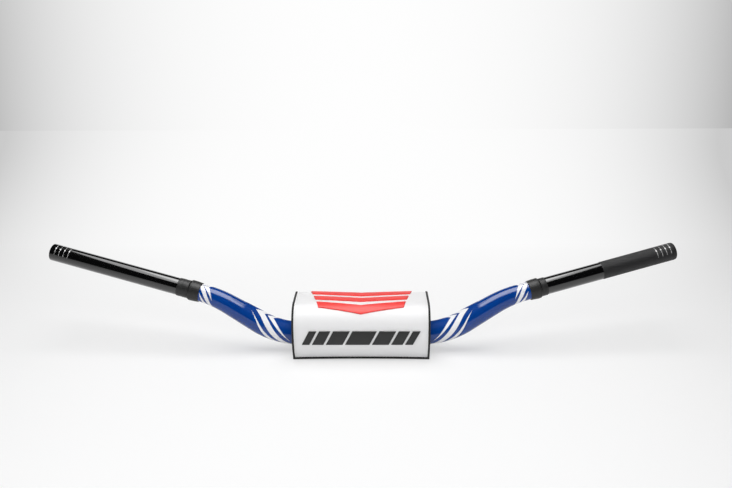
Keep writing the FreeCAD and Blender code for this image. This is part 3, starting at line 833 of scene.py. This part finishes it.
def closer_at_ends(half, inner_step):
    """Stations from -half to half that lie closer together near both ends."""
    edge = [half - CLOSE_STEP * k for k in range(CLOSE_ROWS)]
    inner = np.linspace(0, edge[-1] - CLOSE_STEP, round(edge[-1] / inner_step))
    half_row = list(inner) + edge[::-1]
    return np.array([-s for s in half_row[:0:-1]] + half_row)


cover_stations = closer_at_ends(COVER_HALF, 1.8 * MM)
cover_overs = closer_at_ends(HEM, 1.6 * MM)
loops = []
for x in cover_stations:
    outside = [pad_point(x, over, pucker(x, over)) for over in cover_overs]
    inside = [pad_point(x, over, -COVER) for over in cover_overs[::-2]]
    loops.append(outside + inside)
overs_in_mm = [over / MM for over in list(cover_overs) + list(cover_overs[::-2]) + [cover_overs[0]]]
cover = surface("cover_white", np.array(loops), overs_in_mm, cover_stations / MM,
                loop_columns=True, caps=True)
dress(cover, white)
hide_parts("pad_cover")

# %% [markdown]
# ## The raised mouldings
# Soft plastic shapes are welded onto the cover: three nested chevrons on top and a row of leaning
# bars on the front. Each is a quad in the map of the pad, or two that meet in the middle. A grid of
# points fills it, crowded at its edges, where the height falls in a small rounding. Because the grid
# is laid on the swollen cover, the mouldings bend and swell with it.

# %% A raised shape on the cover
MOULDING = 1.6 * MM
ROOT = -0.35 * MM
EDGE_STEPS = [(0.0, ROOT), (0.02, 0.95), (0.08, 1.2), (0.2, 1.4), (0.4, 1.54), (0.7, 1.6)]


def edge_to_edge(length):
    """Distances across a moulding and the height at each: a rounding, level, and a rounding."""
    edge = [(d * MM, h if h == ROOT else h * MM) for d, h in EDGE_STEPS]
    count = max(2, round((length - 1.4 * MM) / (2.2 * MM)))
    level = [(d, MOULDING) for d in np.linspace(0.7 * MM, length - 0.7 * MM, count + 1)[1:-1]]
    return edge + level + [(length - d, h) for d, h in edge[::-1]]


def moulding_grid(length, depth, corner_map):
    """Points of a raised quad; corner_map turns shares of its length and depth into (x, over)."""
    long_way, short_way = edge_to_edge(length), edge_to_edge(depth)
    rows = []
    for d, h in long_way:
        top = [pad_point(*corner_map(d / length, e / depth), min(h, g)) for e, g in short_way]
        base = [pad_point(*corner_map(d / length, e / depth), ROOT) for e, _ in short_way[::-1]]
        rows.append(top + base)
    return np.array(rows)


def raised(name, grids, finish, slot, node):
    """Several raised quads as one piece."""
    vertices, faces = [], []
    for grid in grids:
        rows, columns = grid.shape[:2]
        first = len(vertices)
        vertices += list(grid.reshape(-1, 3))
        faces += [(first + i * columns + j, first + i * columns + (j + 1) % columns,
                   first + (i + 1) * columns + (j + 1) % columns, first + (i + 1) * columns + j)
                  for i in range(rows - 1) for j in range(columns)]
        for start in (first, first + (rows - 1) * columns):
            half = columns // 2
            faces += [(start + k, start + k + 1, start + columns - 2 - k, start + columns - 1 - k)
                      for k in range(half - 1)]
    piece = close_up(new_piece(name, vertices, faces))
    work = bmesh.new()
    work.from_mesh(piece.data)
    bmesh.ops.recalc_face_normals(work, faces=work.faces)
    work.to_mesh(piece.data)
    work.free()
    dress(piece, finish)
    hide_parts(node)


def soft_plastic(name, low, high):
    finish = Finish(name, Specular_IOR_Level=0.5)
    finish.set(Base_Color=finish.blend(finish.noise(45, 4), low, high),
               Roughness=finish.noise(2200, 2) * 0.15 + finish.noise(80, 3) * 0.1 + 0.30)
    finish.relief(finish.noise(2200, 2), 0.02 * MM)
    return finish


red_plastic = soft_plastic("red_soft_plastic", (0.78, 0.030, 0.026, 1), (0.86, 0.046, 0.038, 1))
black_plastic = soft_plastic("black_soft_plastic", grey(0.006), grey(0.012))
print("mouldings:", MOULDING / MM, "mm high, their edges", EDGE_STEPS[-1][0], "mm wide")

# %% Chevrons on the top
CHEVRON_HALF = 64 * MM
CHEVRON_BACK = 24 * MM
CHEVRON_DEPTH = 11.5 * MM
CHEVRON_GAP = 9 * MM
CHEVRON_DIP = 10 * MM
CHEVRON_SLANT = 2.5 * MM
dip_slope = CHEVRON_DIP / CHEVRON_HALF
end_slope = CHEVRON_SLANT / CHEVRON_DEPTH


def over_at(y):
    """Distance over the surface of a point of the top or shoulder that is y back from the middle."""
    side, y = (1 if y >= 0 else -1), abs(y)
    if y > PAD_FLAT:
        y = PAD_FLAT + SHOULDER_RADIUS * math.asin((y - PAD_FLAT) / SHOULDER_RADIUS)
    return side * y


def chevron_map(number):
    back_middle = CHEVRON_BACK - CHEVRON_DIP - number * (CHEVRON_DEPTH + CHEVRON_GAP)

    def place(along, across):
        middle = back_middle - across * CHEVRON_DEPTH
        half = (CHEVRON_HALF - end_slope * (CHEVRON_BACK - middle)) / (1 - end_slope * dip_slope)
        x = (2 * along - 1) * half
        return x, over_at(middle + dip_slope * abs(x))
    return place


print("three chevrons:", round((3 * CHEVRON_DEPTH + 2 * CHEVRON_GAP) / MM, 1), "mm from back to front")
chevrons = [moulding_grid(2 * CHEVRON_HALF, CHEVRON_DEPTH, chevron_map(number)) for number in range(3)]
raised("chevrons_red", chevrons, red_plastic, "motif_red", "top_motif")

# %% Leaning bars on the front
BLOCK_SHARES = [1, 1.5, 2.2, 3.2, 2.2, 1.5, 1]
BLOCK_GAP = 3.2 * MM
BLOCK_LEAN = 9 * MM
BLOCK_TOP = 19.2 * MM
BLOCK_BOTTOM = 1.2 * MM
FRONT_WIDTH = 144 * MM


def block_map(left, width):
    def place(along, across):
        z = BLOCK_BOTTOM + (BLOCK_TOP - BLOCK_BOTTOM) * across
        over = SHOULDER_END + SIDE_RADIUS * math.asin((SHOULDER_LEVEL - z) / SIDE_RADIUS)
        return left + along * width + across * BLOCK_LEAN, -over
    return place


blocks = []
left = -FRONT_WIDTH / 2
free_width = FRONT_WIDTH - BLOCK_LEAN - BLOCK_GAP * (len(BLOCK_SHARES) - 1)
for share in BLOCK_SHARES:
    width = free_width * share / sum(BLOCK_SHARES)
    blocks.append(moulding_grid(width, BLOCK_TOP - BLOCK_BOTTOM, block_map(left, width)))
    left += width + BLOCK_GAP
raised("leaning_bars_black", blocks, black_plastic, "motif_black", "front_motif")

# %% [markdown]
# ## Piping and edge tape
# The end seams are covered by a flat black piping, and a folded woven tape runs along both lower
# edges, where the closure is sewn in. Both are one outline carried along a path: the piping over the
# section from hem to hem, the tape straight along the pad, bowed up with the hem.

# %% Woven tape
tape = Finish("black_woven_tape", Specular_IOR_Level=0.35, Sheen_Weight=0.15)
across, along = tape.unrolled()
ribs = tape.maths("SINE", along * (2 * math.pi / 0.7)) * 0.5 + 0.5
yarns = tape.maths("SINE", (across + tape.noise(300, 2)) * (2 * math.pi / 0.5)) * 0.5 + 0.5
weave = (ribs * 0.6 + yarns * 0.4) * (tape.noise(700, 3) * 0.6 + 0.7)
tape.shaded(weave, (0.008, 0.024), 1, -0.35)
tape.relief(weave, 0.08 * MM)
print("nodes in the tape:", len(tape.tree.nodes))

# %% Piping over both ends
PIPING_HEIGHT = 0.9 * MM
PIPING_ROUNDING = 0.8 * MM


def carried(name, rows, profile, stations):
    """A closed outline carried along stations, with its map in mm."""
    steps = [math.dist(p, q) for p, q in zip(profile, profile[1:] + profile[:1])]
    round_it = np.concatenate([[0], np.cumsum(steps)]) / MM
    return surface(name, np.array(rows), round_it, stations / MM, loop_columns=True, caps=True)


level = PIPING_HEIGHT - PIPING_ROUNDING
profile = [(0, -COVER), (0, level)]
profile += quarter((PIPING_ROUNDING, level), PIPING_ROUNDING, (-1, 0), (0, 1), 5)[1:]
profile += quarter((PIPING_WIDTH - PIPING_ROUNDING, level), PIPING_ROUNDING, (0, 1), (1, 0), 5)
profile += [(PIPING_WIDTH, -COVER)]
overs = np.array(stations_between(-HEM, HEM, 1.5 * MM) + [HEM])
for hand, side in (("left", -1), ("right", 1)):
    rows = [[pad_point(side * (COVER_HALF + out), over, height, raised=False) for out, height in profile]
            for over in overs]
    piece = carried(f"piping_{hand}_tape", rows, profile, overs)
    dress(piece, tape)
    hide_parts(f"piping_{hand}")

# %% Tape along the lower edges
BINDING_OUT = SIDE_CENTRE + SIDE_RADIUS * math.cos(SIDE_FALL) + 0.8 * MM
BINDING_WIDTH = 3.6 * MM
BINDING_ROUNDING = 1.1 * MM
inside = BINDING_OUT - BINDING_WIDTH
rounded_out = BINDING_OUT - BINDING_ROUNDING
profile = [(inside, FOAM_BOTTOM), (inside, PAD_BOTTOM)]
profile += quarter((rounded_out, PAD_BOTTOM + BINDING_ROUNDING), BINDING_ROUNDING, (0, -1), (1, 0), 5)
profile += quarter((rounded_out, FOAM_BOTTOM - BINDING_ROUNDING), BINDING_ROUNDING, (1, 0), (0, 1), 5)
xs = np.array(stations_between(-PAD_HALF, PAD_HALF, 2 * MM) + [PAD_HALF])
for name, side in (("front", -1), ("rear", 1)):
    rows = [[(x, side * y, z + hem_bow(x) * smooth_step((y - inside) / BINDING_WIDTH * 2))
             for y, z in profile] for x in xs]
    piece = carried(f"edge_tape_{name}", rows, profile, xs)
    dress(piece, tape)
    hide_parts(f"binding_{name}")

# %% [markdown]
# ## Foam and end panels
# The foam block and the two panels that close its ends are slotted, so that the pad can be pushed
# over the bar from above: a round channel for the tube with a slit below it. Their end faces lie
# between an outer outline and that keyhole, and strips between the two fill them without a
# hole being cut. The panels are drawn out slightly where the foam presses on them.

# %% A slotted block
CHANNEL_RADIUS = CLAMP_RADIUS + 0.6 * MM
SLIT_HALF = 4.5 * MM
STRIPS = 96


def spread(points, count):
    """The same open outline as evenly spaced points."""
    points = np.array(points)
    steps = np.concatenate([[0], np.cumsum(np.hypot(*np.diff(points, axis=0).T))])
    at = np.linspace(0, steps[-1], count)
    return np.stack([np.interp(at, steps, points[:, k]) for k in (0, 1)], axis=1)


def outer_outline():
    """From the slit's front edge round the block to its rear edge."""
    overs = np.linspace(-HEM, HEM, 400)
    around = [pad_section(over, -COVER)[0] for over in overs]
    around = [point for point in around if point[1] > FOAM_BOTTOM]
    return spread([(-SLIT_HALF, FOAM_BOTTOM), (around[0][0], FOAM_BOTTOM), *around,
                   (around[-1][0], FOAM_BOTTOM), (SLIT_HALF, FOAM_BOTTOM)], STRIPS)


def keyhole():
    """Up the slit's front wall, round the channel and down its rear wall."""
    half_opening = math.asin(SLIT_HALF / CHANNEL_RADIUS)
    angles = np.linspace(half_opening, 2 * math.pi - half_opening, 120)
    around = [(-CHANNEL_RADIUS * math.sin(a), -CHANNEL_RADIUS * math.cos(a)) for a in angles]
    return spread([(-SLIT_HALF, FOAM_BOTTOM), *around, (SLIT_HALF, FOAM_BOTTOM)], STRIPS)


def slotted_block(name, start, end, crown_start=0.0, crown_end=0.0):
    """The block between two stations, with end faces that may be drawn out."""
    outer, inner = outer_outline(), keyhole()
    faces_across = np.linspace(0, 1, 9)

    def ring(x, share, crown):
        lift = bar_line(x)[0][2]
        moved = inner + [0, lift]
        moved[0], moved[-1] = inner[0], inner[-1]
        flat = outer * (1 - share) + moved * share
        bulge = crown * max(0, math.sin(math.pi * share)) ** 0.7
        from_slit = [smooth_step(min(j, STRIPS - 1 - j) / 6) for j in range(STRIPS)]
        return [(x + bulge * weight, y, z) for (y, z), weight in zip(flat, from_slit)]

    rows = [ring(start, share, -crown_start) for share in faces_across[::-1]]
    rows += [ring(x, 0, 0) for x in stations_between(start, end, 8 * MM)[1:]]
    rows += [ring(end, share, crown_end) for share in faces_across]
    rows += [ring(x, 1, 0) for x in stations_between(end, start, 8 * MM)[1:]]
    return surface(name, np.array(rows), loop_rows=True)


print("channel:", round(2 * CHANNEL_RADIUS / MM, 1), "mm wide; slit:", round(2 * SLIT_HALF / MM, 1), "mm")

# %% Foam and panels
foam_finish = Finish("black_closed_cell_foam", Specular_IOR_Level=0.3)
pores = foam_finish.cells(1400)
foam_finish.shaded(pores, (0.030, 0.012), 0.75, 0.2)
foam_finish.relief(pores, 0.2 * MM)

panel_finish = Finish("black_end_panel_fabric", Specular_IOR_Level=0.35, Sheen_Weight=0.2)
_, over_y, over_z = panel_finish.parts(panel_finish.place)
threads = [panel_finish.maths("SINE", part * (2 * math.pi / (0.65 * MM))) * 0.5 + 0.5
           for part in (over_y, over_z)]
weave = threads[0] * threads[1] * (panel_finish.noise(600, 3) * 0.6 + 0.7)
panel_finish.shaded(weave, (0.007, 0.022), 1, -0.3)
panel_finish.relief(weave, 0.1 * MM)

PANEL = 1.5 * MM
foam = slotted_block("foam_block", PANEL - PAD_HALF, PAD_HALF - PANEL)
dress(foam, foam_finish)
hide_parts("pad_foam")
right_panel = slotted_block("end_panel_fabric_right", PAD_HALF - PANEL, PAD_HALF, crown_end=0.7 * MM)
left_panel = slotted_block("end_panel_fabric_left", -PAD_HALF, PANEL - PAD_HALF, crown_start=0.7 * MM)
for piece, node in ((right_panel, "end_panel_right"), (left_panel, "end_panel_left")):
    dress(piece, panel_finish)
    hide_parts(node)

# %% [markdown]
# ## The closure under the pad
# Two flaps meet under the slit and hold the pad on the bar: one carries hooks and lies underneath,
# the other carries loops. They are flat sheets of tape, sewn to the edge tapes, so each is one
# rounded outline carried along the pad. Hooks and loops differ in finish: stiff dots and soft fuzz.

# %% Hook and loop flaps
FLAP_HALF = 66 * MM
FLAP = 1.4 * MM
FLAP_ROUNDING = 0.5 * MM
FLAP_INSET = 0.35 * MM


def flap(name, y_from, y_to, bottom):
    """A flat tape between two distances from the middle plane."""
    corners = [(y_from, bottom), (y_to, bottom), (y_to, bottom + FLAP), (y_from, bottom + FLAP)]
    profile = eased(corners, FLAP_ROUNDING)
    xs = np.linspace(-FLAP_HALF, FLAP_HALF, 56)
    thinner_at_ends = [1 - 2 * FLAP_INSET / FLAP, *[1.0] * (len(xs) - 2), 1 - 2 * FLAP_INSET / FLAP]
    middle = bottom + FLAP / 2
    rows = [[(x, y, middle + (z - middle) * thinner) for y, z in profile]
            for x, thinner in zip(xs, thinner_at_ends)]
    return carried(name, rows, profile, xs)


hooks = Finish("hook_tape", Specular_IOR_Level=0.4)
rows_of_hooks = hooks.cells(1250)
hooks.shaded(rows_of_hooks, (0.040, 0.010), 0.45, 0.3)
hooks.relief(1 - rows_of_hooks, 0.4 * MM)
fuzz = Finish("loop_tape", Specular_IOR_Level=0.25, Sheen_Weight=0.4)
strands = fuzz.noise(1600, 6, (0.35, 1, 1))
fuzz.shaded(strands, (0.006, 0.034), 0.82, 0.15)
fuzz.relief(strands, 0.3 * MM)

FLAP_REACH = 9 * MM
hook_flap = flap("hook_flap", -inside, FLAP_REACH, PAD_BOTTOM)
loop_flap = flap("loop_flap", -FLAP_REACH, inside, PAD_BOTTOM + FLAP)
for piece, finish, slot, rests_on in ((hook_flap, hooks, "hook_black", "edge_tape_front"),
                                      (loop_flap, fuzz, "loop_black", "edge_tape_rear")):
    dress(piece, finish)
    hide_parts(f"closure_flap_{slot.split('_')[0]}")
    FLAP_REACH + inside

# %% [markdown]
# ## Seams
# Lines of lockstitch hold the piping, the edge tapes and the flaps. A stitch repeats hundreds of times
# along a path, so Geometry Nodes lays it: the path becomes a curve, the curve is cut into equal
# steps, and each step gets a short thread turned along it.

# %% Thread and the tree that lays it
STITCH_PITCH = 3.0 * MM
STITCH_LENGTH = 2.1 * MM


def thread(name, greys):
    finish = Finish(name, Sheen_Weight=0.2)
    finish.shaded(finish.noise(3000, 2), greys, 0.5, 0.2)
    return finish


def path_mesh(name, paths):
    """Loose edges along several lines of points."""
    points, edges = [], []
    for path in paths:
        first = len(points)
        points += [tuple(map(float, point)) for point in path]
        edges += [(k, k + 1) for k in range(first, len(points) - 1)]
    mesh = bpy.data.meshes.new(name)
    mesh.from_pydata(points, edges, [])
    return mesh


def sew(name, paths, finish, thick):
    """Stitches along lines of points."""
    tree = Tree(name + "_sewing", Pitch=STITCH_PITCH, Length=STITCH_LENGTH, Thickness=thick)
    curve = tree.node("GeometryNodeMeshToCurve", {}, {0: tree.size("Geometry")})
    steps = tree.node("GeometryNodeResampleCurve", {"mode": "LENGTH"},
                      {"Curve": curve, "Length": tree.size("Pitch")})
    tangent = tree.node("GeometryNodeInputTangent", {}, {})
    turned = tree.node("FunctionNodeAlignRotationToVector", {"axis": "X"}, {"Vector": tangent})
    bead = tree.node("GeometryNodeMeshIcoSphere", {}, {"Radius": 0.5, "Subdivisions": 1})
    stretch = tree.join(tree.size("Length"), tree.size("Thickness"), tree.size("Thickness"))
    laid = tree.node("GeometryNodeInstanceOnPoints", {}, {
        "Points": steps, "Instance": bead, "Rotation": turned, "Scale": stretch})
    piece = tree.grow(name, path_mesh(name + "_path", paths), laid, finish)
    piece.data.shade_smooth()
    dress(piece, finish)
    print(name, "faces:", len(piece.data.polygons))


# %% Lay the seams
SEAM_IN = 2.0 * MM
THREAD_OUT = 0.02 * MM
seam_xs = [-COVER_HALF + SEAM_IN, COVER_HALF - SEAM_IN]
seam_overs = np.linspace(-HEM + SEAM_IN, HEM - SEAM_IN, 160)
end_seams = [[pad_point(x, over, pucker(x, over) + THREAD_OUT) for over in seam_overs] for x in seam_xs]
print("end seams:", round((seam_overs[-1] - seam_overs[0]) / MM, 1), "mm long each")
hem_xs = np.linspace(*seam_xs, 120)
hem_seams = [[pad_point(x, side * (HEM - SEAM_IN), pucker(x, HEM - SEAM_IN) + THREAD_OUT) for x in hem_xs]
             for side in (-1, 1)]
sew("cover_seams", end_seams + hem_seams, thread("white_thread", (0.50, 0.78)), 0.42 * MM)

flap_xs = np.linspace(-FLAP_HALF + 3 * MM, FLAP_HALF - 3 * MM, 60)
flap_seams = [[(x, side * (inside - 3 * MM), level) for x in flap_xs]
              for side, level in ((-1, PAD_BOTTOM + 0.16 * MM), (1, PAD_BOTTOM + FLAP))]
sew("closure_seams", flap_seams, thread("black_thread", (0.012, 0.05)), 0.3 * MM)

# %% [markdown]
# ## Floor and backdrop
# The object stands on a white table that ends in front of a paler wall, and the corners fall off to
# grey. Raising the lamps until the floor clips would burn out the white cover as well. The Light Path
# node does it without touching the light: diffuse rays meet plain pale surfaces, while the camera,
# reflections and see-through rays meet a mix of the lit surface and a drawn white. Near the object
# only half is drawn, so the floor keeps its soft shadow, and farther back all of it. The drawn white
# darkens towards the corners and the sides of the wall: that grey is painted shade, a fall-off of
# the light drawn into the colour.

# %% A pale surface whose white is drawn
def pale_surface(name, fall, share):
    """fall and share are functions of the place: how far the drawn white falls off to grey (painted
    shade), and how much is drawn.
    """
    finish = Finish(name, Specular_IOR_Level=0.1, Roughness=0.9)
    uneven = finish.noise(2.5, 2)
    finish.set(Base_Color=finish.blend(uneven, (0.855, 0.855, 0.86, 1), grey(0.875)))
    place = finish.parts(finish.place)
    rays = [finish.node("ShaderNodeLightPath", {}, {}, f"Is {kind} Ray")
            for kind in ("Camera", "Glossy", "Transmission")]
    seen = rays[0].or_more(rays[1]).or_more(rays[2])
    # The drawn white turns grey where fall is high: painted shade.
    drawn = finish.node("ShaderNodeEmission", {}, {
        "Color": finish.blend(fall(finish, *place), grey(0.99), grey(0.0)), "Strength": 1.0})
    lit = Wire(finish, finish.shader.outputs[0])
    mixed = finish.node("ShaderNodeMixShader", {}, {0: seen * share(finish, *place), 1: lit, 2: drawn})
    finish.tree.links.new(mixed.socket, finish.tree.nodes["Material Output"].inputs["Surface"])
    return finish


def floor_painted_falloff(finish, x, y, z):
    """Painted shade: how far the drawn white of the floor falls off to grey. Steeper near the camera,
    where a corner of the picture lies closer to the middle, and held from 0.35 m in front on, so that
    the floor stays pale in other views."""
    x = x + 0.03
    square = x * x
    near = finish.maths("EXPONENT", finish.maths("MAXIMUM", y, -0.35) * -1.45)
    return finish.maths("MINIMUM", square * 0.06 + square * square * near * 2.42, 0.4)


# Painted shade: how far the drawn white of the wall falls off to grey towards its sides.
def wall_painted_falloff(finish, x, y, z):
    x = x + 0.04
    square = x * x
    return finish.maths("MINIMUM", square * 0.10 + square * square * 0.11, 0.55)


def floor_share(finish, x, y, z):
    return y.above(0.32, 0.4) * 0.5 + 0.5


def wall_share(finish, x, y, z):
    """All of it, since no shadow falls on the wall."""
    return 1


# %% Stage pieces
FLOOR_HALF = 9.0
WALL_AT = 2.1
WALL_HEIGHT = 1.1
WALL_HALF = 4.0


def stage_plane(name, corners, finish):
    piece = new_piece(name, corners, [(0, 1, 2, 3)])
    piece.data.materials.append(finish.material)


low = PAD_BOTTOM - 0.1 * MM
stage_plane("floor", [(-FLOOR_HALF, -FLOOR_HALF, low), (FLOOR_HALF, -FLOOR_HALF, low),
                      (FLOOR_HALF, WALL_AT, low), (-FLOOR_HALF, WALL_AT, low)],
            pale_surface("pale_floor", floor_painted_falloff, floor_share))
stage_plane("backdrop", [(-WALL_HALF, WALL_AT, low), (WALL_HALF, WALL_AT, low),
                         (WALL_HALF, WALL_AT, WALL_HEIGHT), (-WALL_HALF, WALL_AT, WALL_HEIGHT)],
            pale_surface("pale_wall", wall_painted_falloff, wall_share))
print("floor at", round(low / MM, 1), "mm; wall", WALL_AT, "m behind the bar")

# %% [markdown]
# ## Light
# The long highlights on the tube say what lit it: one softbox overhead, with the room around dark.
# An area lamp of the same size stands in for it. Its light alone would leave the front of the pad and
# the floor under the arms too dark, because the white studio around throws light back. Two large
# fill lamps stand for that light, one overhead and one behind the camera. Reflections don't see
# them, so that gloss black stays black. A softbox is brightest in its middle, where its own lamp
# sits: the photo shows that as a highlight that fades along the grips. The core adds it to the
# reflections only.

# %% Softbox, fill and room
def area_lamp(name, width, depth, energy, place, target=None, diffuse=True, glossy=False):
    """A rectangular lamp that looks down, or at a target."""
    light = bpy.data.lights.new(name, "AREA")
    light.shape = "RECTANGLE"
    light.size, light.size_y = width, depth
    light.energy = energy
    lamp = new_object(name, light)
    lamp.location = place
    if target:
        lamp.rotation_euler = (Vector(target) - Vector(place)).to_track_quat("-Z", "Y").to_euler()
    lamp.visible_camera = False
    lamp.visible_diffuse = diffuse
    lamp.visible_glossy = glossy


area_lamp("softbox", 1.054, 1.33, 14, (-0.067, -0.055, 1.3), glossy=True)
area_lamp("softbox_core", 0.76, 0.95, 7.5, (-0.03, -0.055, 1.29), diffuse=False, glossy=True)
area_lamp("fill_overhead", 3.0, 3.0, 17, (0.0, -0.1, 2.2))
area_lamp("fill_front", 2.4, 1.2, 23, (0.0, -1.9, 1.1), target=(0.0, 0.0, 0.0))

room = bpy.data.worlds.new("dim_room")
room.use_nodes = True
room.node_tree.nodes["Background"].inputs["Color"].default_value = grey(0.02)
bpy.context.scene.world = room

# %% [markdown]
# ## Camera
# The camera stands 1.1 m in front and looks 15 degrees down, turned a little less than a degree to
# the object, as the photograph was taken. The direction it looks in, up and right are written as the
# columns of its matrix, so nothing has to be turned by hand.

# %% Place the camera
IMAGE_WIDTH = 732
FOCAL_PIXELS = 880
SENSOR = 36.0
pitch, roll, yaw = math.radians(15), math.radians(-0.314), math.radians(0.827)
LOOK_DISTANCE = 1.1118
RISE = 0.11243
SIDE_SHIFT_PIXELS = 5.07

look = np.array([0, math.cos(pitch), -math.sin(pitch)])
level_up = np.array([0, math.sin(pitch), math.cos(pitch)])
level_right = np.array([1.0, 0, 0])
eye = level_up * RISE - look * LOOK_DISTANCE
right = level_right * math.cos(roll) + level_up * math.sin(roll)
up = level_up * math.cos(roll) - level_right * math.sin(roll)
swing = np.array(Matrix.Rotation(yaw, 3, "Z"))
eye, right, up, look = (swing @ vector for vector in (eye, right, up, look))

camera = bpy.data.cameras.new("camera")
camera.sensor_width = SENSOR
camera.lens = FOCAL_PIXELS * SENSOR / IMAGE_WIDTH
camera.shift_x = SIDE_SHIFT_PIXELS / IMAGE_WIDTH
camera.clip_end = 50
eye_object = new_object("camera", camera)
eye_object.matrix_world = Matrix([[right[k], up[k], -look[k], eye[k]] for k in range(3)] + [[0, 0, 0, 1]])
bpy.context.scene.camera = eye_object
bpy.context.scene.view_settings.view_transform = "Standard"
print("lens:", round(camera.lens, 2), "mm; camera at", [round(float(c), 3) for c in eye])
